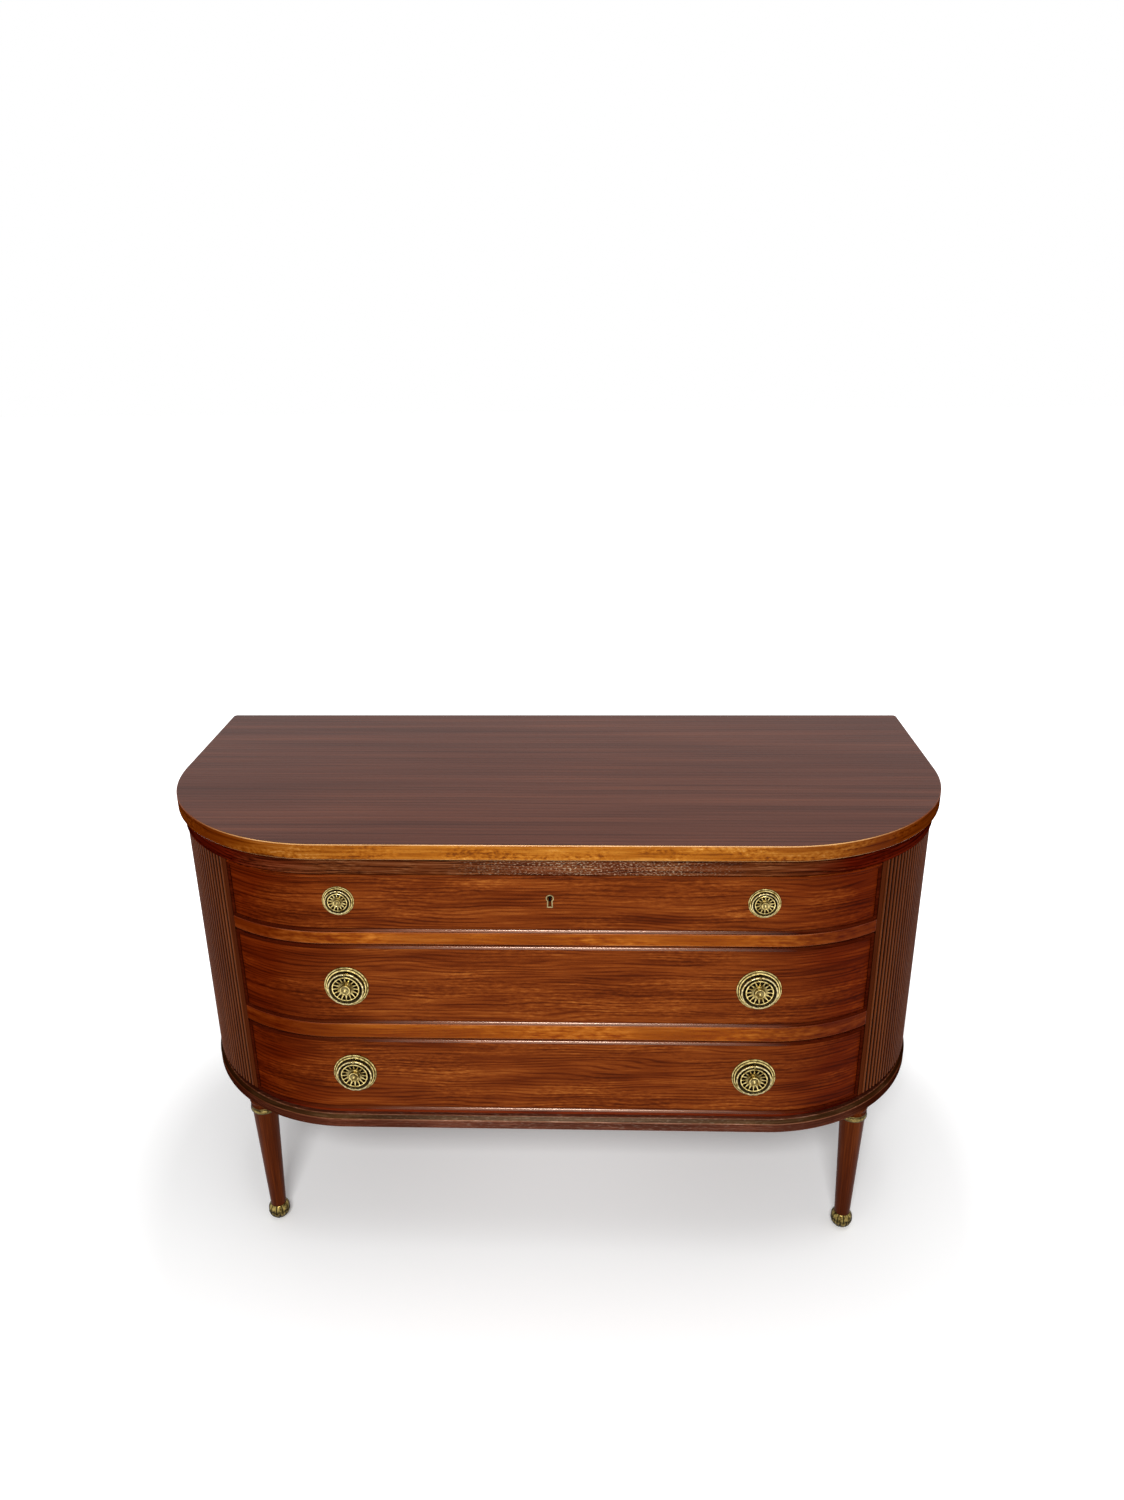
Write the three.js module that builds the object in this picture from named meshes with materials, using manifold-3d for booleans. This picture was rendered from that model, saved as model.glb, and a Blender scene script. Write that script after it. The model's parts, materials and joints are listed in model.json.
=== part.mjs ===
// A demilune chest of drawers: a long body with two quarter-round front corners, three curved
// drawers, reeded sides and turned legs on brass ball feet.
// Millimetres, +Z up, the front faces -Y, the floor is z = 0.

import * as THREE from 'three';
import { mergeVertices } from 'three/addons/utils/BufferGeometryUtils.js';
import Module from 'manifold-3d';

const wasm = await Module();
wasm.setup();

// Plan of the body, seen from above
const topWidth = 1120;
const topDepth = 488;
const cornerRadius = 258;
const backCornerRadius = 6;
const bodyInset = 9.4; // the drawer faces lie this far behind the slab's edge
const baseInset = 6.5; // the base moulding stands a little proud of the body
const bodyBackInset = 6; // the slab overhangs the back panel
const drawerEndDegrees = 33.5; // how far round the corner the drawers reach
const stileWidth = 6.4; // the post's visible strip beside the drawers
const seatGap = 0.3; // left between pieces that touch
const reveal = 1.5; // shadow gap round a drawer

// Heights, from the floor up
const legClearance = 234.7;
const baseThickness = 19.4;
const bottomThickness = 10.3;
const bottomDrawerHeight = 121.6;
const lowerRailHeight = 23;
const middleDrawerHeight = 125.7;
const upperRailHeight = 18.3;
const topDrawerHeight = 86.4;
const corniceHeight = 24;
const topThickness = 22;

// Carcase
const topArris = 1.8; // rounding of the slab's edge
const baseBevelDepth = 5; // the base moulding's sloping upper face
const baseBevelHeight = 5.6;
const baseArris = 1.2;
const bottomInset = 17; // the bottom board is set back and leaves a dark line
const corniceFootInset = 7.2; // the cornice's lower fillet
const corniceFillet = 3.6;
const corniceStep = 1.1;
const corniceTopInset = 10.8; // the cornice leans back to here under the slab
const panelThickness = 20; // the reeded panels, and the cornice above them
const reedPitch = 7.9;
const reedDepth = 2.2;
const postWidth = 34;
const postDepth = 76;
const backThickness = 10;
const railDepth = 84;
const dustBoardThickness = 11;

// Drawers
const frontThickness = 20;
const beadWidth = 5;
const beadDepth = 11;
const beadProud = 2.4;
const boxSideInset = 13.5; // the box side lies this far in from the front's end
const boxSideThickness = 12;
const boxBackThickness = 10;
const boxTopDrop = 9; // the box sides are lower than the front's top edge
const boxBottomThickness = 6;
const grooveDepth = 5;
const grooveLift = 8; // from the box side's lower edge up to its groove
const boxRearSpace = 20;
const guideClearance = 1.2; // between the box side and the side board that guides it

// Ring pulls, sized by the radius of their backplate
const largePlateRadius = 30.5;
const smallPlateRadius = 21.4;
const pullPlaceShare = 0.93; // of the flat front's half width
const topPullDropShare = 0.458; // of the front's height, down from its top edge
const middlePullDropShare = 0.521;
const bottomPullDropShare = 0.479;
const ringTurnShare = 0.77; // centre line of the ring
const ringWireShare = 0.072;
const ringDropShare = 0.026;
const ringProudShare = 0.225;
const bossProudShare = 0.476;
const lugWidthShare = 0.17;
const lugWallShare = 0.055;
const ringHoleClearance = 0.45;
const spigotShare = 0.1; // the plate is held by a spigot through the drawer front
// The backplate's section: a stepped rim, a dish with an upstanding wall, and a domed boss
const plateSectionShares = [
  [1, 0],
  [1, 0.03],
  [0.96, 0.062],
  [0.88, 0.1],
  [0.71, 0.1],
  [0.625, 0.14],
  [0.62, 0.25],
  [0.575, 0.26],
  [0.4, 0.13],
  [0.265, 0.12],
  [0.265, 0.32],
  [0.18, 0.43],
  [0, bossProudShare],
];

// Lock and keyhole
const lockWidth = 50;
const lockHeight = 56;
const lockDepth = 9;
const lockWall = 1.5;
const boltWidth = 24;
const boltHeight = 28;
const boltThickness = 5;
const boltTravel = 8;
const keyDrop = 38; // the keyhole's middle below the top drawer's upper edge
const keyRoundRadius = 3.3;
const keyRoundRise = 3.6;
const keySlotHalf = 1.7;
const keySlotFlare = 0.4;
const keySlotDrop = 6.8;
const escutcheonBorder = 1.3;
const escutcheonThickness = 2;
const escutcheonProud = 0.4;

// Legs
const neckRadius = 20.8;
const neckHeight = 11;
const neckCove = 2.4;
const neckBead = 3.4;
const collarHeight = 9.5;
const collarProud = 2.2;
const collarRounding = 2;
const shaftTopRadius = 18.7;
const shaftFootRadius = 11.6;
const legProud = 1; // the neck stands this far out from the base moulding
const frontLegDegrees = 37.2;
const rearLegSetIn = 6;
const dowelRadius = 9;
const dowelLength = 14;
const dowelSpace = 1.5; // free depth past the end of the dowel
const footRadius = 16.5;
const footFlatRadius = 4.6;

// Fineness of the round work
const cornerSteps = 24;
const backCornerSteps = 2;
const drawerArcSteps = 12;
const panelBackSteps = 12;
const turnedSides = 24;
const plateSides = 28;
const ringSides = 8;
const ringTurns = 24;
const keySides = 10;
const lugSides = 12;
const ballSteps = 8;
const postArcSteps = 3;
const overrun = 2; // how far a cutter runs past what it cuts

// Finishes
const slabMahogany = new THREE.MeshStandardMaterial({ color: 0x64463e, roughness: 0.3 });
const frontMahogany = new THREE.MeshStandardMaterial({ color: 0x82401c, roughness: 0.35 });
const railMahogany = new THREE.MeshStandardMaterial({ color: 0x9a5326, roughness: 0.4 });
const bodyMahogany = new THREE.MeshStandardMaterial({ color: 0x5e3522, roughness: 0.45 });
const mouldingMahogany = new THREE.MeshStandardMaterial({ color: 0x6d4630, roughness: 0.4 });
const legMahogany = new THREE.MeshStandardMaterial({ color: 0x6a2f18, roughness: 0.4 });
const drawerOak = new THREE.MeshStandardMaterial({ color: 0xb08a5a, roughness: 0.75 });
const carcasePine = new THREE.MeshStandardMaterial({ color: 0x9c7448, roughness: 0.8 });
const agedBrass = new THREE.MeshStandardMaterial({ color: 0xa98d4a, roughness: 0.35, metalness: 1 });
const lockSteel = new THREE.MeshStandardMaterial({ color: 0x77736a, roughness: 0.5, metalness: 1 });

// Places worked out from the sizes
const quarterTurn = Math.PI / 2;
const slabHalf = topWidth / 2;
const slabBackY = topDepth / 2;
const slabFrontY = -slabBackY;
const cornerX = slabHalf - cornerRadius;
const cornerY = slabFrontY + cornerRadius;
const faceY = slabFrontY + bodyInset;
const bodyBackY = slabBackY - bodyBackInset;
const bodyHalf = slabHalf - bodyInset;
const frontInset = bodyInset + frontThickness; // inner face of a drawer front
const drawerEndAngle = THREE.MathUtils.degToRad(drawerEndDegrees);
const drawerHalf = cornerX + (cornerRadius - bodyInset) * Math.sin(drawerEndAngle);
const boxHalf = drawerHalf - boxSideInset;
const boxInnerHalf = boxHalf - boxSideThickness;
const postX = drawerHalf + reveal;
const stileX = postX + stileWidth;
const panelX = stileX + seatGap;
const panelInnerInset = bodyInset + panelThickness;
const postBackY = cornerY - (cornerRadius - bodyInset) * Math.cos(drawerEndAngle) + postDepth;
const backPanelY = bodyBackY - backThickness;
const boxBackY = backPanelY - boxRearSpace;
const railBackY = faceY + railDepth;
const sideBoardX = boxHalf + guideClearance;

const baseTop = legClearance + baseThickness;
const bottomBase = baseTop + seatGap;
const bottomTop = bottomBase + bottomThickness;
const bottomDrawerZ = bottomTop + reveal;
const lowerRailZ = bottomDrawerZ + bottomDrawerHeight + reveal;
const middleDrawerZ = lowerRailZ + lowerRailHeight + reveal;
const upperRailZ = middleDrawerZ + middleDrawerHeight + reveal;
const topDrawerZ = upperRailZ + upperRailHeight + reveal;
const corniceZ = topDrawerZ + topDrawerHeight + reveal;
const corniceTop = corniceZ + corniceHeight;
const slabZ = corniceTop + seatGap;
const wallZ = bottomTop + seatGap; // what stands on the bottom board
const wallTop = corniceZ - seatGap;

const chest = new THREE.Group();

// Solids

function toSolid(geometry) {
  const bare = geometry.clone();
  bare.deleteAttribute('normal');
  bare.deleteAttribute('uv');
  const merged = mergeVertices(bare);
  const { Manifold, Mesh } = wasm;
  return new Manifold(new Mesh({
    numProp: 3,
    vertProperties: new Float32Array(merged.attributes.position.array),
    triVerts: new Uint32Array(merged.index.array),
  }));
}

function toGeometry(solid) {
  const mesh = solid.getMesh();
  const geometry = new THREE.BufferGeometry();
  geometry.setAttribute('position', new THREE.BufferAttribute(mesh.vertProperties, mesh.numProp));
  geometry.setIndex(new THREE.BufferAttribute(mesh.triVerts, 1));
  geometry.computeVertexNormals();
  return geometry;
}

function cut(geometry, ...cutters) {
  return toGeometry(cutters.reduce((solid, cutter) => solid.subtract(toSolid(cutter)), toSolid(geometry)));
}

function join(...geometries) {
  const [first, ...others] = geometries.map(toSolid);
  return toGeometry(others.reduce((solid, other) => solid.add(other), first));
}

function addPiece(name, geometry, material, parent = chest) {
  const mesh = new THREE.Mesh(geometry, material);
  mesh.name = name;
  parent.add(mesh);
  return mesh;
}

// A box between two corners
function block([x0, y0, z0], [x1, y1, z1]) {
  return new THREE.BoxGeometry(x1 - x0, y1 - y0, z1 - z0)
    .translate((x0 + x1) / 2, (y0 + y1) / 2, (z0 + z1) / 2);
}

// An upright prism over an outline in plan
function prism(outline, zLow, zHigh) {
  const shape = new THREE.Shape(outline.map(([x, y]) => new THREE.Vector2(x, y)));
  return new THREE.ExtrudeGeometry(shape, { depth: zHigh - zLow, bevelEnabled: false })
    .translate(0, 0, zLow);
}

// A board with a moulded edge: outlines of equal length, one above the other
function moulded(levels) {
  const count = levels[0].outline.length;
  const position = levels.flatMap(({ outline, z }) => outline.flatMap(([x, y]) => [x, y, z]));
  const index = [];
  for (let level = 0; level + 1 < levels.length; level += 1) {
    for (let i = 0; i < count; i += 1) {
      const a = level * count + i;
      const b = level * count + ((i + 1) % count);
      index.push(a, b, b + count, a, b + count, a + count);
    }
  }
  const flat = levels[0].outline.map(([x, y]) => new THREE.Vector2(x, y));
  const topStart = (levels.length - 1) * count;
  for (const [a, b, c] of THREE.ShapeUtils.triangulateShape(flat, [])) {
    index.push(a, c, b, topStart + a, topStart + b, topStart + c);
  }
  const geometry = new THREE.BufferGeometry();
  geometry.setAttribute('position', new THREE.Float32BufferAttribute(position, 3));
  geometry.setIndex(index);
  geometry.computeVertexNormals();
  return geometry;
}

// A turned piece from [radius, height] points, lowest first
function turned(points, sides) {
  return new THREE.LatheGeometry(points.map(([r, h]) => new THREE.Vector2(r, h)), sides);
}

// Lines in plan

const mirrorX = (points) => points.map(([x, y]) => [-x, y]).reverse();

function cornerPoint(inset, angle) {
  const radius = cornerRadius - inset;
  return [cornerX + radius * Math.sin(angle), cornerY - radius * Math.cos(angle)];
}

function angleAtX(inset, x) {
  return Math.asin((x - cornerX) / (cornerRadius - inset));
}

function cornerArc(inset, fromAngle, toAngle, steps) {
  const points = [];
  for (let i = 0; i <= steps; i += 1) {
    points.push(cornerPoint(inset, fromAngle + ((toAngle - fromAngle) * i) / steps));
  }
  return points;
}

// The front's line from one end to the other, left to right
function frontRun(inset, halfWidth) {
  const right = cornerArc(inset, 0, angleAtX(inset, halfWidth), drawerArcSteps);
  return [...mirrorX(right), ...right];
}

// The whole line round sides and front, from the back on the left to the back on the right
function bodyRun(inset, backY) {
  const right = [...cornerArc(inset, 0, quarterTurn, cornerSteps), [slabHalf - inset, backY]];
  return [...mirrorX(right), ...right];
}

// The slab's outline, with its small rear corners
function slabOutline(inset) {
  const radius = backCornerRadius;
  const right = cornerArc(inset, 0, quarterTurn, cornerSteps);
  const centreX = slabHalf - radius;
  const centreY = slabBackY - radius;
  for (let i = 0; i <= backCornerSteps; i += 1) {
    const angle = (quarterTurn * i) / backCornerSteps;
    right.push([
      centreX + (radius - inset) * Math.cos(angle),
      centreY + (radius - inset) * Math.sin(angle),
    ]);
  }
  return [...mirrorX(right), ...right];
}

// Carcase

function topBoard() {
  const halfway = 1 - Math.SQRT1_2;
  const rounding = [[0, 1], [halfway, halfway], [1, 0]];
  const lower = rounding.map(([up, inset]) => ({
    outline: slabOutline(inset * topArris),
    z: slabZ + up * topArris,
  }));
  const upper = rounding.map(([down, inset]) => ({
    outline: slabOutline(inset * topArris),
    z: slabZ + topThickness - down * topArris,
  })).reverse();
  return moulded([...lower, ...upper]);
}

function baseBoard() {
  const levels = [
    [baseInset + baseArris, legClearance],
    [baseInset, legClearance + baseArris],
    [baseInset, baseTop - baseBevelHeight],
    [baseInset + baseBevelDepth, baseTop],
  ];
  const board = moulded(levels.map(([inset, z]) => ({ outline: bodyRun(inset, bodyBackY), z })));
  const sockets = legPlaces.map(([x, y]) => (
    new THREE.CylinderGeometry(dowelRadius + seatGap, dowelRadius + seatGap,
      dowelLength + dowelSpace + overrun, turnedSides)
      .rotateX(quarterTurn)
      .translate(x, y, legClearance + (dowelLength + dowelSpace - overrun) / 2)
  ));
  return cut(board, ...sockets);
}

function cornice() {
  const levels = [
    [corniceFootInset, corniceZ],
    [corniceFootInset, corniceZ + corniceFillet],
    [corniceFootInset + corniceStep, corniceZ + corniceFillet],
    [corniceTopInset, corniceTop],
  ];
  const inner = bodyRun(panelInnerInset, bodyBackY).reverse();
  const band = moulded(levels.map(([inset, z]) => (
    { outline: [...bodyRun(inset, bodyBackY), ...inner], z }
  )));
  const half = boltWidth / 2 + seatGap;
  const mortise = block(
    [-half, boltY - boltThickness / 2 - seatGap, corniceZ - overrun],
    [half, boltY + boltThickness / 2 + seatGap, corniceZ + boltTravel],
  );
  return cut(band, mortise);
}

// A rail between two drawers, from post to post
function rail(z, height) {
  const half = postX - seatGap;
  const outline = [...frontRun(bodyInset, half), [half, railBackY], [-half, railBackY]];
  return prism(outline, z, z + height);
}

// The right post: a narrow strip beside the drawers, and its body behind the reeded panel
function postOutline() {
  const hidden = panelInnerInset + seatGap;
  return [
    cornerPoint(bodyInset, angleAtX(bodyInset, postX)),
    cornerPoint(bodyInset, angleAtX(bodyInset, stileX)),
    ...cornerArc(hidden, angleAtX(hidden, stileX), angleAtX(hidden, postX + postWidth),
      postArcSteps),
    [postX + postWidth, postBackY],
    [postX, postBackY],
  ];
}

// The right reeded panel: round the corner from the post, then straight to the back
function reededOutline() {
  const radius = cornerRadius - bodyInset;
  const startAngle = angleAtX(bodyInset, panelX);
  const arcLength = radius * (quarterTurn - startAngle);
  const straight = bodyBackY - cornerY;
  const fillet = reedDepth;
  const run = arcLength + straight - 2 * fillet;
  const count = Math.round(run / reedPitch);
  const pointAt = (along, depth) => (along < arcLength
    ? cornerPoint(bodyInset + depth, startAngle + along / radius)
    : [bodyHalf - depth, cornerY + along - arcLength]);
  const reedShares = [[0, 1], [0.14, 0.4], [0.5, 0], [0.86, 0.4]];
  const outer = [pointAt(0, 0)];
  for (let reed = 0; reed < count; reed += 1) {
    for (const [alongShare, depthShare] of reedShares) {
      outer.push(pointAt(fillet + (run * (reed + alongShare)) / count, depthShare * reedDepth));
    }
  }
  outer.push(pointAt(fillet + run, reedDepth), pointAt(arcLength + straight, 0));
  const innerStart = angleAtX(panelInnerInset, panelX);
  const inner = [
    ...cornerArc(panelInnerInset, innerStart, quarterTurn, panelBackSteps),
    [slabHalf - panelInnerInset, bodyBackY],
  ];
  return [...outer, ...inner.reverse()];
}

// A board behind a rail, level with its top, which carries the drawer above
function dustBoard(top) {
  const half = sideBoardX - seatGap;
  return block(
    [-half, railBackY + seatGap, top - dustBoardThickness],
    [half, backPanelY - seatGap, top],
  );
}

// Legs

const legRadiusFromCorner = cornerRadius - baseInset - neckRadius + legProud;
const frontLegAngle = THREE.MathUtils.degToRad(frontLegDegrees);
const frontLeg = [
  cornerX + legRadiusFromCorner * Math.sin(frontLegAngle),
  cornerY - legRadiusFromCorner * Math.cos(frontLegAngle),
];
const rearLeg = [
  slabHalf - baseInset - neckRadius + legProud,
  bodyBackY - neckRadius - rearLegSetIn,
];
const legPlaces = [
  [-frontLeg[0], frontLeg[1]],
  frontLeg,
  [-rearLeg[0], rearLeg[1]],
  rearLeg,
];
const legNames = ['front_left', 'front_right', 'rear_left', 'rear_right'];

const footCentreZ = Math.sqrt(footRadius ** 2 - footFlatRadius ** 2);
const footTopZ = footCentreZ + Math.sqrt(footRadius ** 2 - (shaftFootRadius + seatGap) ** 2);
const legTop = legClearance - seatGap;
const neckBottom = legTop - neckHeight;
const collarBottom = neckBottom - seatGap - collarHeight;

function leg() {
  const slope = (shaftTopRadius - shaftFootRadius) / (collarBottom - footTopZ);
  const profile = [
    [0, footTopZ + seatGap],
    [shaftFootRadius, footTopZ + seatGap],
    [shaftTopRadius - slope * collarHeight, collarBottom],
    [shaftTopRadius - slope * collarHeight, neckBottom],
    [neckRadius - neckCove / 2, neckBottom],
    [neckRadius - neckCove, neckBottom + neckCove],
    [neckRadius - neckCove, legTop - neckBead],
    [neckRadius, legTop - neckBead / 2],
    [neckRadius, legTop],
    [dowelRadius, legTop],
    [dowelRadius, legTop + dowelLength],
    [0, legTop + dowelLength],
  ];
  return turned(profile, turnedSides).rotateX(quarterTurn);
}

function collar() {
  const slope = (shaftTopRadius - shaftFootRadius) / (collarBottom - footTopZ);
  const inner = shaftTopRadius - slope * collarHeight + seatGap;
  const outer = shaftTopRadius + collarProud;
  const top = neckBottom - seatGap;
  return turned([
    [inner, collarBottom],
    [outer - collarRounding, collarBottom],
    [outer, collarBottom + collarRounding],
    [outer, top - collarRounding],
    [outer - collarRounding / 2, top],
    [inner, top],
    [inner, collarBottom],
  ], turnedSides).rotateX(quarterTurn);
}

function ballFoot() {
  const low = Math.asin(-footCentreZ / footRadius);
  const high = Math.asin((footTopZ - footCentreZ) / footRadius);
  const profile = [[0, 0]];
  for (let i = 0; i <= ballSteps; i += 1) {
    const angle = low + ((high - low) * i) / ballSteps;
    profile.push([footRadius * Math.cos(angle), footCentreZ + footRadius * Math.sin(angle)]);
  }
  profile.push([0, footTopZ]);
  return turned(profile, turnedSides).rotateX(quarterTurn);
}

// Ring pulls, in their own place: the drawer's face is y = 0 and the middle is the origin

function pullSizes(plateRadius) {
  const wire = plateRadius * ringWireShare;
  const turn = plateRadius * ringTurnShare;
  const drop = plateRadius * ringDropShare;
  return {
    plateRadius,
    wire,
    turn,
    drop,
    proud: plateRadius * ringProudShare,
    pivotZ: turn * Math.cos(Math.PI / ringTurns) - drop,
    spigot: plateRadius * spigotShare,
  };
}

// Turned about an axis that points out of the drawer
const facing = (geometry) => geometry.rotateX(Math.PI);

function pullPlate(size) {
  const profile = [
    [0, -frontThickness],
    [size.spigot, -frontThickness],
    [size.spigot, seatGap],
    ...plateSectionShares.map(([r, h]) => [r * size.plateRadius, seatGap + h * size.plateRadius]),
  ];
  const plate = facing(turned(profile, plateSides));
  const width = size.plateRadius * lugWidthShare;
  const wall = size.plateRadius * lugWallShare;
  const hole = size.wire + ringHoleClearance;
  const across = (radius, length) => new THREE.CylinderGeometry(radius, radius, length, lugSides)
    .rotateZ(quarterTurn)
    .translate(0, -size.proud, size.pivotZ);
  const foot = block(
    [-width / 2, -size.proud, size.pivotZ - hole - wall],
    [width / 2, -seatGap - size.plateRadius * plateSectionShares[1][1], size.pivotZ + hole + wall],
  );
  return cut(join(plate, foot, across(hole + wall, width)), across(hole, width + overrun));
}

// One straight step of the ring lies in the lug, on the axis that it swings about
function pullRing(size) {
  return new THREE.TorusGeometry(size.turn, size.wire, ringSides, ringTurns)
    .rotateZ(Math.PI / ringTurns)
    .rotateX(quarterTurn)
    .translate(0, -size.proud, -size.drop);
}

// Keyhole shapes, looking at the front: x across, y up

function keyShape(border) {
  const radius = keyRoundRadius + border;
  const half = keySlotHalf + border;
  const foot = half + keySlotFlare;
  const bottom = -keySlotDrop - border;
  const openAngle = Math.asin(half / radius);
  const shape = new THREE.Shape();
  shape.moveTo(-foot, bottom);
  shape.lineTo(foot, bottom);
  shape.absarc(0, keyRoundRise, radius, openAngle - quarterTurn, Math.PI + quarterTurn - openAngle);
  shape.closePath();
  return shape;
}

// A shape on the front, from yFront back to yRear, with its middle at height z
function throughFront(shape, yFront, yRear, z) {
  return new THREE.ExtrudeGeometry(shape, {
    depth: yRear - yFront,
    bevelEnabled: false,
    curveSegments: keySides,
  }).rotateX(quarterTurn).translate(0, yRear, z);
}

// Drawers

const lockY = faceY + frontThickness - lockDepth;
const boltY = lockY + lockDepth / 2;

function drawerFront({ z, height, pulls, pull, locked }) {
  const zTop = z + height;
  const rebateInset = bodyInset - beadProud + beadDepth + seatGap;
  const margin = beadWidth + seatGap;
  const behind = [
    ...frontRun(rebateInset, drawerHalf),
    ...frontRun(frontInset, drawerHalf).reverse(),
  ];
  const field = [
    ...frontRun(bodyInset, drawerHalf - margin),
    ...frontRun(frontInset, drawerHalf - margin).reverse(),
  ];
  const grooveZ = z + boxLift + grooveLift;
  const groove = [
    ...frontRun(frontInset - grooveDepth, boxInnerHalf + grooveDepth),
    ...frontRun(frontInset + overrun, boxInnerHalf + grooveDepth).reverse(),
  ];
  const cutters = [
    prism(groove, grooveZ - seatGap, grooveZ + boxBottomThickness + seatGap),
    ...pulls.map(([x, pz]) => new THREE.CylinderGeometry(pull.spigot + seatGap, pull.spigot + seatGap,
      frontThickness + 2 * overrun, turnedSides).translate(x, faceY + frontThickness / 2, pz)),
  ];
  if (locked) {
    const half = lockWidth / 2 + seatGap;
    const keyZ = zTop - keyDrop;
    cutters.push(
      block([-half, lockY - seatGap, zTop - lockHeight - seatGap],
        [half, faceY + frontThickness + overrun, zTop + overrun]),
      throughFront(keyShape(0), faceY - overrun, lockY + overrun, keyZ),
      throughFront(keyShape(escutcheonBorder + seatGap), faceY - overrun,
        faceY + escutcheonThickness + seatGap, keyZ),
    );
  }
  return cut(join(prism(behind, z, zTop), prism(field, z + margin, zTop - margin)), ...cutters);
}

function cockBead({ z, height }) {
  const outerInset = bodyInset - beadProud;
  const innerInset = outerInset + beadDepth;
  const ring = (half, front, rear) => [...frontRun(front, half), ...frontRun(rear, half).reverse()];
  return cut(
    prism(ring(drawerHalf, outerInset, innerInset), z, z + height),
    prism(ring(drawerHalf - beadWidth, outerInset - overrun, innerInset + overrun),
      z + beadWidth, z + height - beadWidth),
  );
}

// The box side's lower edge from the front's: it rides a seat gap above the board under it
const boxLift = seatGap - reveal;

function boxSide({ z, height }) {
  const seat = frontInset + seatGap;
  const at = (x) => cornerPoint(seat, angleAtX(seat, x));
  const outline = [at(boxInnerHalf), at(boxHalf), [boxHalf, boxBackY], [boxInnerHalf, boxBackY]];
  const zLow = z + boxLift;
  const groove = block(
    [boxInnerHalf - overrun, slabFrontY, zLow + grooveLift - seatGap],
    [boxInnerHalf + grooveDepth, slabBackY, zLow + grooveLift + boxBottomThickness + seatGap],
  );
  return cut(prism(outline, zLow, z + height - boxTopDrop), groove);
}

function boxBottom({ z }) {
  const half = boxInnerHalf + grooveDepth - seatGap;
  const zLow = z + boxLift + grooveLift;
  const outline = [
    ...frontRun(frontInset - grooveDepth + seatGap, half),
    [half, boxBackY],
    [-half, boxBackY],
  ];
  return prism(outline, zLow, zLow + boxBottomThickness);
}

function boxBack({ z, height }) {
  const half = boxInnerHalf - seatGap;
  return block(
    [-half, boxBackY - boxBackThickness, z + boxLift + grooveLift + boxBottomThickness + seatGap],
    [half, boxBackY, z + height - boxTopDrop],
  );
}

function lockCase(zTop) {
  const y1 = faceY + frontThickness;
  const half = lockWidth / 2;
  const slot = boltWidth / 2 + seatGap;
  return cut(
    block([-half, lockY, zTop - lockHeight], [half, y1, zTop]),
    block([-half + lockWall, lockY + lockWall, zTop - lockHeight + lockWall],
      [half - lockWall, y1 - lockWall, zTop - lockWall]),
    block([-slot, boltY - boltThickness / 2 - seatGap, zTop - lockHeight / 2],
      [slot, boltY + boltThickness / 2 + seatGap, zTop + overrun]),
    throughFront(keyShape(0), lockY - overrun, boltY, zTop - keyDrop),
  );
}

function lockBolt(zTop) {
  const half = boltWidth / 2;
  return block(
    [-half, boltY - boltThickness / 2, zTop - boltHeight],
    [half, boltY + boltThickness / 2, zTop],
  );
}

function escutcheon(zTop) {
  const front = faceY - escutcheonProud;
  const rear = faceY + escutcheonThickness;
  return cut(
    throughFront(keyShape(escutcheonBorder), front, rear, zTop - keyDrop),
    throughFront(keyShape(0), front - overrun, rear + overrun, zTop - keyDrop),
  );
}

function addDrawer(name, drawer) {
  const { z, height, plateRadius, dropShare } = drawer;
  const pull = pullSizes(plateRadius);
  const pullX = cornerX * pullPlaceShare;
  const pullZ = z + height - dropShare * height;
  const pulls = [[-pullX, pullZ], [pullX, pullZ]];
  const place = { ...drawer, pull, pulls };
  addPiece(`${name}_drawer_front`, drawerFront(place), frontMahogany);
  addPiece(`${name}_drawer_cock_bead`, cockBead(place), frontMahogany);
  const side = toSolid(boxSide(place));
  addPiece(`${name}_drawer_right_side`, toGeometry(side), drawerOak);
  addPiece(`${name}_drawer_left_side`, toGeometry(side.mirror([1, 0, 0])), drawerOak);
  addPiece(`${name}_drawer_bottom`, boxBottom(place), drawerOak);
  addPiece(`${name}_drawer_back`, boxBack(place), drawerOak);
  ['left', 'right'].forEach((hand, i) => {
    const [x, pz] = pulls[i];
    const group = new THREE.Group();
    group.position.set(x, faceY, pz);
    chest.add(group);
    addPiece(`${name}_${hand}_pull_plate`, pullPlate(pull), agedBrass, group);
    addPiece(`${name}_${hand}_pull_ring`, pullRing(pull), agedBrass, group);
  });
}

// The chest

addPiece('top_board', topBoard(), slabMahogany);
addPiece('cornice_moulding', cornice(), mouldingMahogany);
addPiece('upper_rail', rail(upperRailZ, upperRailHeight), railMahogany);
addPiece('lower_rail', rail(lowerRailZ, lowerRailHeight), railMahogany);
addPiece('upper_dust_board', dustBoard(upperRailZ + upperRailHeight), carcasePine);
addPiece('lower_dust_board', dustBoard(lowerRailZ + lowerRailHeight), carcasePine);
addPiece('bottom_board', prism(bodyRun(bottomInset, bodyBackY), bottomBase, bottomTop), bodyMahogany);
addPiece('base_board', baseBoard(), mouldingMahogany);
addPiece('back_panel', block(
  [panelInnerInset + seatGap - slabHalf, backPanelY, wallZ],
  [slabHalf - panelInnerInset - seatGap, bodyBackY, corniceTop],
), carcasePine);

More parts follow.
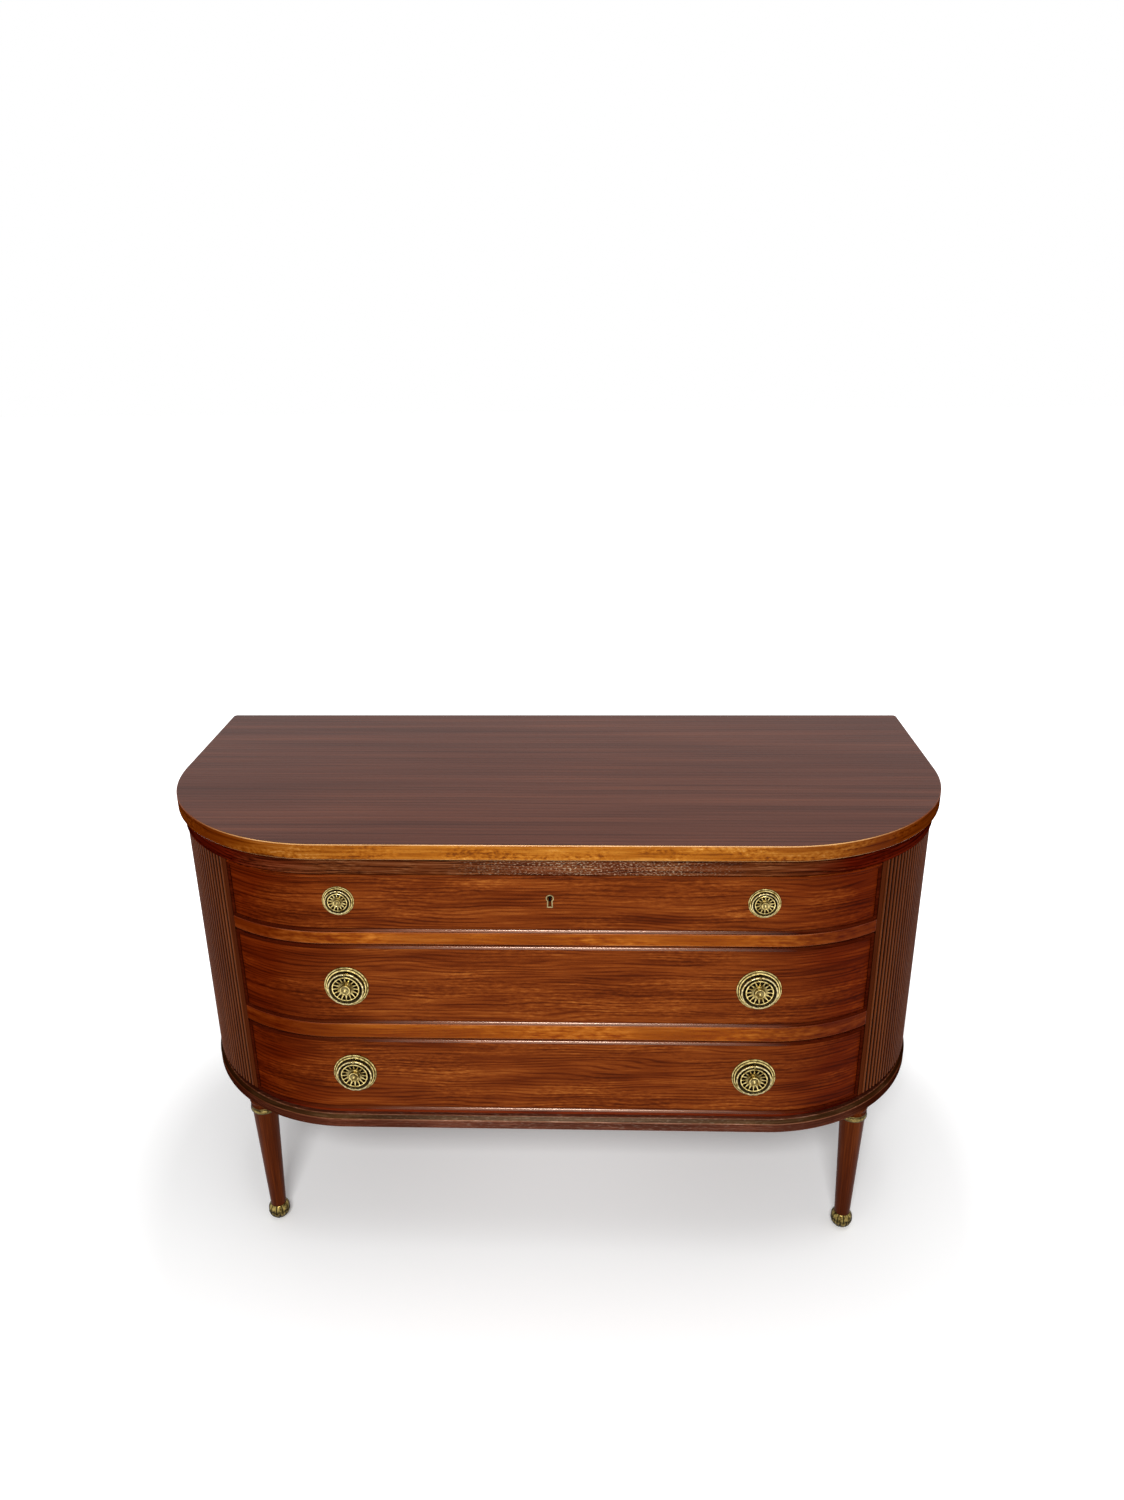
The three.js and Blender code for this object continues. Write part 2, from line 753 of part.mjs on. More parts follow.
for (const [hand, sideways] of [['left', mirrorX], ['right', (points) => points]]) {
  addPiece(`${hand}_reeded_panel`, prism(sideways(reededOutline()), wallZ, wallTop), bodyMahogany);
  addPiece(`${hand}_front_post`, prism(sideways(postOutline()), wallZ, wallTop), bodyMahogany);
  const board = [
    [sideBoardX, railBackY + seatGap],
    [postX - seatGap, railBackY + seatGap],
    [postX - seatGap, backPanelY - seatGap],
    [sideBoardX, backPanelY - seatGap],
  ];
  addPiece(`${hand}_side_board`, prism(sideways(board), wallZ, corniceTop), carcasePine);
}

legPlaces.forEach(([x, y], i) => {
  addPiece(`${legNames[i]}_leg`, leg(), legMahogany).position.set(x, y, 0);
  addPiece(`${legNames[i]}_collar`, collar(), agedBrass).position.set(x, y, 0);
  addPiece(`${legNames[i]}_ball_foot`, ballFoot(), agedBrass).position.set(x, y, 0);
});

addDrawer('top', {
  z: topDrawerZ,
  height: topDrawerHeight,
  plateRadius: smallPlateRadius,
  dropShare: topPullDropShare,
  locked: true,
});
addDrawer('middle', {
  z: middleDrawerZ,
  height: middleDrawerHeight,
  plateRadius: largePlateRadius,
  dropShare: middlePullDropShare,
});
addDrawer('bottom', {
  z: bottomDrawerZ,
  height: bottomDrawerHeight,
  plateRadius: largePlateRadius,
  dropShare: bottomPullDropShare,
});

const topDrawerTop = topDrawerZ + topDrawerHeight;
addPiece('lock_case', lockCase(topDrawerTop), lockSteel);
addPiece('lock_bolt', lockBolt(topDrawerTop), lockSteel);
addPiece('escutcheon', escutcheon(topDrawerTop), agedBrass);

// The pulls stand out past the slab, so the whole is moved back to keep its middle at y = 0
const overhang = Math.max(0, seatGap + largePlateRadius * bossProudShare - bodyInset);
chest.position.set(0, overhang / 2, 0);
chest.updateMatrixWorld(true);

export default chest;
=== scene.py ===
import json
import math

import bmesh
import bpy
from mathutils import Matrix, Vector


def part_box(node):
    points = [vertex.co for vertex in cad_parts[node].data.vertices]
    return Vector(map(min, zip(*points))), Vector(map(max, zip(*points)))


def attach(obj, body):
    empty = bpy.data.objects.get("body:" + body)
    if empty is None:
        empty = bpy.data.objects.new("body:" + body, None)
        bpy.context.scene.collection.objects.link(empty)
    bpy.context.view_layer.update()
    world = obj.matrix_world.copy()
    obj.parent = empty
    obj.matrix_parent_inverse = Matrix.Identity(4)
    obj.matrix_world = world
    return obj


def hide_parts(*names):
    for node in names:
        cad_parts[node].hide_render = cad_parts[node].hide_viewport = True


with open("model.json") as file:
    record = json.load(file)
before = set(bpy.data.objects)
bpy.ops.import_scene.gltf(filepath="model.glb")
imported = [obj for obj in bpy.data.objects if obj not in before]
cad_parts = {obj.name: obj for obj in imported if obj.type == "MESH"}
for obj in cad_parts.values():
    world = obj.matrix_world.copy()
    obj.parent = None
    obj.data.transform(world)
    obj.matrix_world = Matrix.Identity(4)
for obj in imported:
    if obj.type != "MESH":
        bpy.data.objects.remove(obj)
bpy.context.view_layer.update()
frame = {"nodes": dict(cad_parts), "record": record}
scene = bpy.context.scene
bodyOf = {node: body for body, nodes in frame["record"]["behaviour"]["bodies"].items() for node in nodes}
print("frame loaded:", len(frame["nodes"]), "nodes")

# Plan of the body: a straight front, quarter-round corners, straight sides and back
plan = {
    "radius": 0.258,  # of the slab's corners
    "faceInset": 0.0094,  # the drawers' faces behind the slab's edge
    "baseInset": 0.0065,  # the base stands a little proud of the drawers
    "bottomInset": 0.017,  # the bottom board is set back and leaves a dark line
    "innerInset": 0.0294,  # inner faces of the cornice and the reeded sides
    "arcSteps": 56,
}
slabLow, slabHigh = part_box("top_board")
cornerX = slabHigh.x - plan["radius"]
cornerY = slabLow.y + plan["radius"]
faceY = slabLow.y + plan["faceInset"]
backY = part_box("back_panel")[1].y


# Shading
noiseRough = 0.6


def toLinear(hexText):
    parts = [int(hexText[i:i + 2], 16) / 255 for i in (0, 2, 4)]
    return [c / 12.92 if c <= 0.04045 else ((c + 0.055) / 1.055) ** 2.4 for c in parts] + [1.0]


# An input is a value, another node's socket, or a node, which gives its first output
def addNode(tree, kind, settings=None, inputs=None, stops=None):
    node = tree.nodes.new("ShaderNode" + kind)
    for name, value in (settings or {}).items():
        setattr(node, name, value)
    for name, value in (inputs or {}).items():
        if isinstance(value, bpy.types.Node):
            tree.links.new(value.outputs[0], node.inputs[name])
        elif isinstance(value, bpy.types.NodeSocket):
            tree.links.new(value, node.inputs[name])
        else:
            node.inputs[name].default_value = value
    if stops:
        elements = node.color_ramp.elements
        elements.remove(elements[1])
        elements[0].position, elements[0].color = stops[0][0], toLinear(stops[0][1])
        for place, colour in stops[1:]:
            elements.new(place).color = toLinear(colour)
    return node


def maths(tree, operation, *values):
    return addNode(tree, "Math", {"operation": operation}, dict(enumerate(values)))


def window(tree, value, low, high, atLow=0, atHigh=1):  # a ramp from low to high, level outside them
    return addNode(tree, "MapRange", inputs={
        "Value": value, "From Min": low, "From Max": high, "To Min": atLow, "To Max": atHigh})


def newMaterial(name):
    material = bpy.data.materials.new(name)
    material.use_nodes = True
    material.node_tree.nodes.clear()
    return material, material.node_tree


# Wood. Its "grain" map runs along the grain in u and across it in v, in metres; inner boards have no
# such map and read Object coordinates, with the grain along one axis. Sizes in a look are millimetres
# along and across the grain, but "ends", "shine" and "shineAt" are metres from the piece's middle. The
# hair-fine figure and pores are drawn as coarse as the eye needs.
figure = {  # spans of noise, which lies mostly between 0.3 and 0.7
    "quiverFiner": (6, 5), "fadeLength": 0.8, "fadeWidth": 1.6, "fadeSpan": (0.36, 0.6),
    "fleckSpan": (0.44, 0.58), "patchSpan": (0.36, 0.6), "poreSpan": (0.55, 0.68), "poreDeep": 0.0004,
    "fibreSpan": (0.3, 0.7), "smoother": 0.05, "rougher": 0.06,
}


def grainedWood(name, look, axis=None):
    material, tree = newMaterial(name)
    stands = addNode(tree, "TexCoord").outputs["Object"]
    place = stands if axis else addNode(tree, "UVMap", {"uv_map": "grain"})

    def streaks(length, width, detail=1, tilt=0.0):  # noise drawn out along the grain
        along, across = 1000 / length, 1000 / width
        scale = {None: (along, across, 1), "x": (along, across, across), "y": (across, along, across)}[axis]
        mapped = addNode(tree, "Mapping", inputs={
            "Vector": place, "Rotation": (0, 0, tilt), "Scale": scale})
        return addNode(tree, "TexNoise", inputs={
            "Vector": mapped, "Scale": 1, "Detail": detail, "Roughness": noiseRough})

    sway = streaks(*look["sway"])
    quiver = streaks(*(size / finer for size, finer in zip(look["sway"], figure["quiverFiner"])))
    fade = streaks(look["sway"][0] * figure["fadeLength"], look["veinEvery"] * figure["fadeWidth"])
    zone = streaks(*look["zone"])
    band = streaks(*look["band"], 2)
    fleck = streaks(*look["fleck"], 2, look["fleckTilt"])
    fibre = streaks(*look["fibre"], 2)

    # Veins: a wave across the grain, swayed and quivering, which fades out in places
    across = addNode(tree, "VectorMath", {"operation": "DOT_PRODUCT"}, {
        0: place, 1: {None: (0, 1, 0), "x": (0, 1, 1), "y": (1, 0, 1)}[axis]}).outputs["Value"]
    turns = 2000 * math.pi / look["veinEvery"]
    phase = maths(tree, "MULTIPLY", quiver, look["quiverBy"])
    phase = maths(tree, "MULTIPLY_ADD", sway, turns * look["swayBy"] / 1000, phase)
    phase = maths(tree, "MULTIPLY_ADD", across, turns, phase)
    veins = window(tree, maths(tree, "SINE", phase), look["veinFrom"], 1)
    veins = maths(tree, "MULTIPLY", veins, window(tree, fade, *figure["fadeSpan"], look["veinLeast"]))

    # Flecks lie in some zones only; the sum of all picks the colour
    flecks = maths(tree, "MULTIPLY", maths(tree, "SUBTRACT", fleck, 0.5),
                   window(tree, zone, *figure["fleckSpan"], 0, look["fleckBy"]))
    level = maths(tree, "MULTIPLY_ADD", band, look["bandBy"], 0.5 - (look["bandBy"] + look["fibreBy"]) / 2)
    level = maths(tree, "MULTIPLY_ADD", fibre, look["fibreBy"], level)
    level = maths(tree, "ADD", maths(tree, "MULTIPLY_ADD", veins, -look["veinBy"], level), flecks)
    colour = addNode(tree, "ValToRGB", inputs={"Fac": level}, stops=look["colours"])

    # Painted shade: a piece darkens towards its ends, where light from the front falls off; it also darkens
    # in random patches of tone. Away from the shine its pores and gloss die out
    east = addNode(tree, "SeparateXYZ", inputs={0: stands})
    dark = maths(tree, "ADD", window(tree, maths(tree, "ABSOLUTE", east), *look["ends"], 0, look["endShadeBy"]),
                 window(tree, zone, *figure["patchSpan"], look["patchBy"], 0))
    far = maths(tree, "ABSOLUTE", maths(tree, "SUBTRACT", east, look["shineAt"]))
    shine = window(tree, far, *look["shine"], 1, 0)
    # painted highlight: pores are drawn only near the shine, where pale pores stand partly for the lamp's
    # sheen
    pore = window(tree, streaks(*look["pore"]), *figure["poreSpan"], 0, look["poreBy"])
    pore = maths(tree, "MULTIPLY", pore, shine)
    coats = [(pore, "MIX", "poreColour"), (dark, "MULTIPLY", "endShadeColour")]
    if "valleyShadeColour" in look:
        # painted shade in the hollows between the reeds, from the point attribute "valley"
        valley = addNode(tree, "Attribute", {"attribute_name": "valley"}).outputs["Fac"]
        coats.append((valley, "MULTIPLY", "valleyShadeColour"))
    for share, blend, coat in coats:
        colour = addNode(tree, "Mix", {"data_type": "RGBA", "blend_type": blend}, {
            "Factor": share, 6: colour, 7: toLinear(look[coat])}).outputs[2]

    rough = window(tree, fibre, *figure["fibreSpan"], look["rough"] - figure["smoother"],
                   look["rough"] + figure["rougher"])
    bump = addNode(tree, "Bump", {"invert": True}, {
        "Strength": look["bump"], "Distance": figure["poreDeep"], "Height": pore})
    gloss = look["gloss"]
    if look["glossAside"] < 1:
        gloss = window(tree, shine, 0, 1, gloss * look["glossAside"], gloss)
    shader = addNode(tree, "BsdfPrincipled", inputs={
        "Base Color": colour, "Roughness": rough, "Normal": bump, "Specular IOR Level": gloss,
        "Specular Tint": toLinear(look["shineColour"]), "IOR": look["index"]})
    addNode(tree, "OutputMaterial", inputs={"Surface": shader})
    return material


ribbonMahogany = {  # drawer fronts: quartered mahogany veneer, French polished, with dark ribbon lines
    "sway": (190, 40), "swayBy": 26, "quiverBy": 2.2, "veinEvery": 5.4, "veinFrom": -0.2, "veinBy": 0.36,
    "veinLeast": 0.15, "zone": (150, 60), "band": (220, 18), "bandBy": 1.2,
    "fleck": (11, 3), "fleckTilt": 0.2, "fleckBy": 0.95, "fibre": (50, 1.8), "fibreBy": 0.8,
    "colours": [(0, "4a1a05"), (0.3, "672a0a"), (0.6, "864014"), (1, "b2682a")],
    "pore": (9, 1.1), "poreBy": 0.25, "poreColour": "461805",
    "ends": (0.26, 0.42), "endShadeBy": 1.0, "endShadeColour": "be8c72", "patchBy": 0.3,
    "rough": 0.34, "bump": 0.12, "gloss": 0.03, "glossAside": 0, "shineAt": 0.04, "shine": (0.26, 0.42),
    "shineColour": "ffdcc4", "index": 1.5}
beadMahogany = {**ribbonMahogany,  # cock beads: darker, and glossier where they are handled
    "fleckBy": 0, "colours": [(0, "4c1e0c"), (0.5, "6c3418"), (1, "8a4c2c")], "endShadeColour": "a07060",
    "ends": (0.16, 0.4), "poreBy": 0, "rough": 0.2, "bump": 0, "gloss": 1.0, "index": 1.7, "shineAt": 0.03,
    "shine": (0.04, 0.3)}
railMahogany = {**ribbonMahogany,  # rails: plain, lighter and more orange
    "veinBy": 0.2, "bandBy": 1.8, "fleck": (20, 6), "fleckTilt": 1.3, "fleckBy": 1.9,
    "colours": [(0, "7a3006"), (0.45, "9e500e"), (1, "c47428")],
    "ends": (0.24, 0.39), "endShadeColour": "a07878", "rough": 0.3, "gloss": 0.06}
railArris = {**railMahogany,  # their arrises: rubbed paler, and painted paler for the highlight along them
    "colours": [(0, "9c4c1c"), (0.5, "b8683a"), (1, "d08c5c")], "fleckBy": 0, "gloss": 0.2}
slabMahogany = {**ribbonMahogany,  # top: straight grain under an old, darkened polish
    "sway": (600, 120), "swayBy": 12, "veinEvery": 9, "veinFrom": 0.4, "veinBy": 0.45, "zone": (600, 160),
    "band": (800, 22), "bandBy": 1.4, "fleckBy": 0, "fibre": (200, 2.2),
    "colours": [(0, "3f2118"), (0.5, "532f24"), (1, "673c2c")],
    "pore": (14, 1.2), "poreBy": 0.2, "poreColour": "38201a", "endShadeBy": 0.1, "endShadeColour": "c8b0a8",
    "patchBy": 0.25, "rough": 0.3, "bump": 0.06, "gloss": 0.06, "glossAside": 1, "shineColour": "ffffff"}
lippingMahogany = {**ribbonMahogany,  # the slab's edge: long-grain lipping, amber in the light
    "sway": (200, 20), "swayBy": 6, "zone": (90, 20), "band": (120, 9), "bandBy": 1.6, "veinBy": 0.2,
    "fleck": (7, 4), "fleckTilt": 1.2, "fleckBy": 1.8,
    "colours": [(0, "6e3404"), (0.35, "a45c10"), (0.75, "c47e2a"), (1, "da9c50")],
    "pore": (5, 2.4), "poreBy": 0.3, "poreColour": "7a3c08",
    "ends": (0.2, 0.46), "endShadeColour": "9a7458", "patchBy": 0.15, "gloss": 0.08}
wornHighlitMahogany = {**lippingMahogany,  # the edge's arrises: rubbed pale, and painted paler still for the highlight they catch
    "colours": [(0, "b07c40"), (0.5, "d8a468"), (1, "ecc490")], "ends": (0.36, 0.5), "endShadeColour": "8a5a38",
    "bandBy": 0.7, "fleckBy": 0.2, "poreBy": 0, "rough": 0.24, "bump": 0, "gloss": 0.6, "glossAside": 0.1,
    "shine": (0.2, 0.45)}
friezeMahogany = {**ribbonMahogany,  # cornice: open grain with pale wax caught in the pores, drawn near the shine as painted highlight too
    "band": (120, 5), "bandBy": 1.6, "veinEvery": 4, "veinBy": 0.45, "fleck": (12, 2), "fleckTilt": 0,
    "fleckBy": 1.6, "zone": (60, 30), "colours": [(0, "38170a"), (0.4, "643216"), (1, "8e5a38")],
    "pore": (3.6, 1.3), "poreBy": 0.85, "poreColour": "c4aa8c",
    "ends": (0.3, 0.43), "endShadeColour": "c0604a", "rough": 0.42, "bump": 0.25, "gloss": 0.05,
    "shineAt": 0.06, "shine": (0.06, 0.2)}
reedMahogany = {**ribbonMahogany,  # reeded sides, grain upright
    "sway": (300, 50), "swayBy": 3, "veinEvery": 5, "veinBy": 0.06, "band": (300, 16), "bandBy": 0.8,
    "fleckBy": 0, "colours": [(0, "50220d"), (0.5, "6f3718"), (1, "8c4c28")],
    "ends": (0.46, 0.56), "endShadeBy": 0.5, "endShadeColour": "a88a70", "valleyShadeColour": "180400",
    "rough": 0.4, "gloss": 0.01, "glossAside": 1, "shineAt": 0, "shine": (0.5, 0.55)}
postMahogany = {**reedMahogany,  # front posts, redder
    "colours": [(0, "3a140a"), (0.5, "54240f"), (1, "6c3418")], "gloss": 0}
baseMahogany = {**ribbonMahogany,  # base moulding
    "band": (140, 6), "bandBy": 1.4, "veinEvery": 4, "fleck": (14, 2), "fleckTilt": 0, "fleckBy": 1.4,
    "zone": (80, 30), "colours": [(0, "3e1a0c"), (0.5, "5c2f20"), (1, "7c4a36")],
    "pore": (10, 1.6), "poreBy": 0.4, "poreColour": "8f7565",
    "ends": (0.3, 0.5), "endShadeBy": 0.9, "endShadeColour": "a0806c", "gloss": 0.08, "shine": (0.12, 0.4)}
baseBevelMahogany = {**baseMahogany,  # its bevel, tilted up: painted greyer for the reflection it catches
    "colours": [(0, "341d0d"), (0.5, "4c321b"), (1, "684c33")], "pore": (8, 1.4),
    "poreColour": "8f7a62"}
baseArris = {**baseMahogany,  # its arrises: rubbed pale, and painted pale for the highlight along them
    "colours": [(0, "6a3c24"), (0.5, "8c5a40"), (1, "bc9078")], "fleck": (9, 3), "fleckBy": 1.8, "gloss": 0.3}
recessMahogany = {**ribbonMahogany,  # the strip under the lowest drawer, deep red
    "fleckBy": 0, "colours": [(0, "5a1c0a"), (0.5, "88300f"), (1, "a84a20")], "rough": 0.2, "gloss": 0.4,
    "glossAside": 0.3, "endShadeColour": "a06060"}
legMahogany = {**ribbonMahogany,  # legs: turned, grain upright
    "sway": (150, 30), "swayBy": 2, "veinEvery": 5, "veinBy": 0.12, "band": (200, 9),
    "fleckBy": 0, "colours": [(0, "340f03"), (0.5, "522006"), (1, "74360f")], "endShadeBy": 0,
    "gloss": 0.04, "glossAside": 1}
drawerOak = {  # drawer boxes: plain oak, unpolished, with long open pores
    "sway": (400, 80), "swayBy": 20, "quiverBy": 1.5, "veinEvery": 8, "veinFrom": 0, "veinBy": 0.25,
    "veinLeast": 0.3, "zone": (400, 150), "band": (300, 14), "bandBy": 1, "fleck": (20, 8), "fleckTilt": 0,
    "fleckBy": 0, "fibre": (60, 1.6), "fibreBy": 0.5,
    "colours": [(0, "8a6237"), (0.5, "ab8250"), (1, "c39e6c")],
    "pore": (9, 0.9), "poreBy": 0.6, "poreColour": "5f4021",
    "ends": (0.5, 0.6), "endShadeBy": 0, "endShadeColour": "cdb394", "patchBy": 0.5,
    "rough": 0.62, "bump": 0.35, "gloss": 0.3, "glossAside": 1, "shineAt": 0, "shine": (0.5, 0.6),
    "shineColour": "ffffff", "index": 1.5}
carcasePine = {**drawerOak,  # back, side and dust boards: old pine with soft bands
    "veinEvery": 13, "band": (420, 20), "fibre": (90, 2.5), "pore": (14, 1.2), "poreBy": 0.2,
    "colours": [(0, "7c5330"), (0.5, "9d7345"), (1, "b58c5c")], "rough": 0.7}

woods = {key: grainedWood(*made) for key, *made in (
    ("ribbon", "ribbonMahoganyFrenchPolished", ribbonMahogany),
    ("bead", "beadMahoganyFrenchPolished", beadMahogany),
    ("rail", "railMahoganyFrenchPolished", railMahogany),
    ("railArris", "railMahoganyArris", railArris),
    ("slab", "slabMahoganyOldPolish", slabMahogany),
    ("lipping", "lippingMahoganyPolished", lippingMahogany),
    ("worn", "wornHighlitMahoganyArris", wornHighlitMahogany),
    ("frieze", "friezeMahoganyWaxedAndHighlit", friezeMahogany),
    ("reed", "reedMahoganyPolished", reedMahogany),
    ("post", "postMahoganyPolished", postMahogany),
    ("base", "baseMahoganyPolished", baseMahogany),
    ("baseBevel", "baseBevelMahoganyPaintedSheen", baseBevelMahogany),
    ("baseArris", "baseMahoganyArris", baseArris),
    ("recess", "recessMahoganyPolished", recessMahogany),
    ("leg", "legMahoganyTurned", legMahogany),
    ("oakAlongX", "drawerOakAlongX", drawerOak, "x"),
    ("oakAlongY", "drawerOakAlongY", drawerOak, "y"),
    ("pineAlongX", "carcasePineAlongX", carcasePine, "x"),
    ("pineAlongY", "carcasePineAlongY", carcasePine, "y"),
)}
print("woods mixed:", len(woods))


# Cast brass, worn bright on what the hand reaches; the point attribute "tarnish" is 1 in the recesses, and
# surfaces seen edge-on are painted darker, as a dark reflection. The lock's filed steel is made the same way.
casting = {"cleanTo": 0.62, "rougher": 0.3, "gritDeep": 0.0002}


def castMetal(name, look):
    material, tree = newMaterial(name)
    place = addNode(tree, "TexCoord").outputs["Object"]
    cloud, grit = (addNode(tree, "TexNoise", inputs={
        "Vector": place, "Scale": 1000 / size, "Detail": detail, "Roughness": noiseRough})
        for size, detail in ((look["cloudMm"], 4), (look["gritMm"], 2)))
    metal = addNode(tree, "ValToRGB", inputs={"Fac": cloud}, stops=look["metal"])
    depth = addNode(tree, "Attribute", {"attribute_name": "tarnish"}).outputs["Fac"]
    # painted reflection: darker where the surface is seen edge-on
    facing = addNode(tree, "LayerWeight", inputs={"Blend": 0.5}).outputs["Facing"]
    deep = maths(tree, "ADD", depth, window(tree, facing, look["rimFrom"], 1, 0, look["rimBy"]))
    uneven = maths(tree, "MULTIPLY_ADD", cloud, look["uneven"], deep)
    tarnish = window(tree, uneven, look["uneven"] * casting["cleanTo"], 1)
    colour = addNode(tree, "Mix", {"data_type": "RGBA"}, {
        "Factor": tarnish, 6: metal, 7: toLinear(look["tarnish"])}).outputs[2]
    rough = window(tree, tarnish, 0, 1, look["rough"], look["rough"] + casting["rougher"])
    bump = addNode(tree, "Bump", inputs={
        "Strength": look["bump"], "Distance": casting["gritDeep"], "Height": grit})
    shader = addNode(tree, "BsdfPrincipled", inputs={
        "Base Color": colour, "Metallic": 1.0, "Roughness": rough, "Normal": bump})
    addNode(tree, "OutputMaterial", inputs={"Surface": shader})
    return material


pullBrass = {  # backplates: cast and lacquered, the lacquer worn through
    "cloudMm": 5, "gritMm": 0.8, "metal": [(0.36, "7c642c"), (0.6, "ecd68e")], "tarnish": "22160a",
    "uneven": 0.35, "rimFrom": 0.3, "rimBy": 1.0, "rough": 0.2, "bump": 0.25}
ringBrass = {**pullBrass,  # rings: rubbed bright by hands
    "metal": [(0.34, "ac9450"), (0.62, "fcecb4")], "rough": 0.16}
footBrass = {**pullBrass,  # ball feet: never polished, brown in the grooves
    "metal": [(0.36, "4c3c1a"), (0.62, "a89356")], "tarnish": "140e04", "rough": 0.26}
collarBrass = {**footBrass,  # collars: duller still
    "metal": [(0.36, "40331a"), (0.62, "8c7a48")]}
threadBrass = {**pullBrass,  # escutcheon: filed flush, grey with age
    "metal": [(0.3, "4c4228"), (0.6, "8a7c58")]}
lockSteel = {**pullBrass,  # lock: filed iron grey
    "metal": [(0.3, "5e5a54"), (0.6, "7f7b73")], "tarnish": "2b2724", "rough": 0.42}
metals = {key: castMetal(*made) for key, *made in (
    ("pull", "pullBrassCast", pullBrass),
    ("ring", "ringBrassRubbed", ringBrass),
    ("foot", "footBrassTarnished", footBrass),
    ("collar", "collarBrassTarnished", collarBrass),
    ("thread", "threadBrassFiled", threadBrass),
    ("lock", "lockSteelFiled", lockSteel),
)}
print("metals mixed:", len(metals))


# Making pieces
making = {
    "pieceWeld": 2e-6, "outlineWeld": 1e-6, "halfWeld": 1e-5,  # corners nearer than this are one
    "flatDegrees": 0.4,  # flat faces of a CAD node are joined up below this bend
    "sharpDegrees": 32, "easeSteps": 2, "easeDegrees": 50,
    "levelFrom": 0.7,  # a face this level takes the grain map from above
    "legRadius": 0.02,  # legs are mapped at one radius
    "shiftStep": 0.173, "shiftMost": 3, "shiftAcross": 0.37,  # each piece is cut elsewhere in the wood
}


def alongBody(x, y):  # distance round the body from the middle of the front
    aside = abs(x) - cornerX
    if y >= cornerY:
        far = cornerX + plan["radius"] * math.pi / 2 + y - cornerY
    elif aside <= 0:
        far = abs(x)
    else:
        far = cornerX + plan["radius"] * math.atan2(aside, cornerY - y)
    return math.copysign(far, x)


def layGrain(mesh, grain, shift, axle):
    layer = mesh.uv_layers.new(name="grain")
    for polygon in mesh.polygons:
        level = abs(polygon.normal.z) > making["levelFrom"]
        for loop in polygon.loop_indices:
            x, y, z = mesh.vertices[mesh.loops[loop].vertex_index].co
            if grain == "turned":  # a leg: up the grain, and round its own axle
                u, v = z, math.atan2(abs(y - axle[1]), x - axle[0]) * making["legRadius"]
            elif level:
                u, v = x, y
            elif grain == "round":
                u, v = alongBody(x, y), z
            else:
                u, v = z, alongBody(x, y)
            layer.data[loop].uv = (u + shift, v + shift * making["shiftAcross"])


def weld(bm, within):
    bmesh.ops.remove_doubles(bm, verts=bm.verts[:], dist=making[within])


def addObject(name, data):
    item = bpy.data.objects.new(name, data)
    scene.collection.objects.link(item)
    return item


def newMesh(bm, name):
    mesh = bpy.data.meshes.new(name)
    bm.to_mesh(mesh)
    bm.free()
    return mesh


# "even" keeps the flat faces' shading flat up to their eased arrises
def finishPiece(bm, node, materials, grain=None, sharpDegrees=making["sharpDegrees"], axle=(0, 0), even=True):
    weld(bm, "pieceWeld")
    bmesh.ops.recalc_face_normals(bm, faces=bm.faces[:])
    for face in bm.faces:
        face.smooth = True
    for edge in bm.edges:
        edge.smooth = edge.calc_face_angle(0) < math.radians(sharpDegrees)
    mesh = newMesh(bm, node + "_finish")
    for material in materials:
        mesh.materials.append(material)
    if grain:
        layGrain(mesh, grain, sum(map(ord, node)) * making["shiftStep"] % making["shiftMost"], axle)
    piece = addObject(node + "_finish", mesh)
    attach(piece, bodyOf[node])
    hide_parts(node)
    if even:
        piece.modifiers.new("evenNormals", "WEIGHTED_NORMAL").keep_sharp = True


def copyNode(node):  # a merged copy of a CAD node, its flat faces joined up
    bm = bmesh.new()
    bm.from_mesh(frame["nodes"][node].data)
    weld(bm, "pieceWeld")
    bmesh.ops.dissolve_limit(bm, angle_limit=math.radians(making["flatDegrees"]), verts=bm.verts[:],
                             edges=bm.edges[:])
    return bm


def bevelEdges(bm, edges, width, segments):
    return bmesh.ops.bevel(bm, geom=edges, offset=width, offset_type="OFFSET", segments=segments, profile=0.5,
                           affect="EDGES", clamp_overlap=True, material=-1)["faces"]


def vertsOf(geom):
    return [v for v in geom if isinstance(v, bmesh.types.BMVert)]


# Bevels every edge sharper than an angle, and returns the new faces
def easeEdges(bm, width, segments=making["easeSteps"], fromDegrees=making["easeDegrees"]):
    edges = [e for e in bm.edges if e.calc_face_angle(0) > math.radians(fromDegrees)]
    return bevelEdges(bm, edges, width, segments)


def dressNode(node, materials, grain=None, ease=0):  # a CAD node as it is, its arrises eased
    bm = copyNode(node)
    if ease:
        easeEdges(bm, ease)
    finishPiece(bm, node, materials, grain)


def turnRound(bm, geom, x, y, angle, steps, copies=False):  # draws edges, or copies, round a centre in plan
    return bmesh.ops.spin(bm, geom=geom, cent=(x, y, 0), axis=(0, 0, 1), angle=angle, steps=steps,
                          use_duplicate=copies)["geom_last"]


def drawTo(bm, tip, x, y):  # a straight line in plan
    tip = bmesh.ops.extrude_vert_indiv(bm, verts=[tip])["verts"][0]
    tip.co = (x, y, tip.co.z)
    return tip


def drawTurn(bm, tip, x, y, angle, steps):  # an arc in plan about a centre
    return vertsOf(turnRound(bm, [tip], x, y, angle, steps))[0]


def mirrorHalf(bm):
    bmesh.ops.mirror(bm, geom=bm.verts[:] + bm.edges[:] + bm.faces[:], matrix=Matrix.Identity(4),
                     merge_dist=making["halfWeld"], axis="X")


def closeEnds(bm):
    bmesh.ops.holes_fill(bm, edges=bm.edges[:], sides=0)
    bmesh.ops.recalc_face_normals(bm, faces=bm.faces[:])


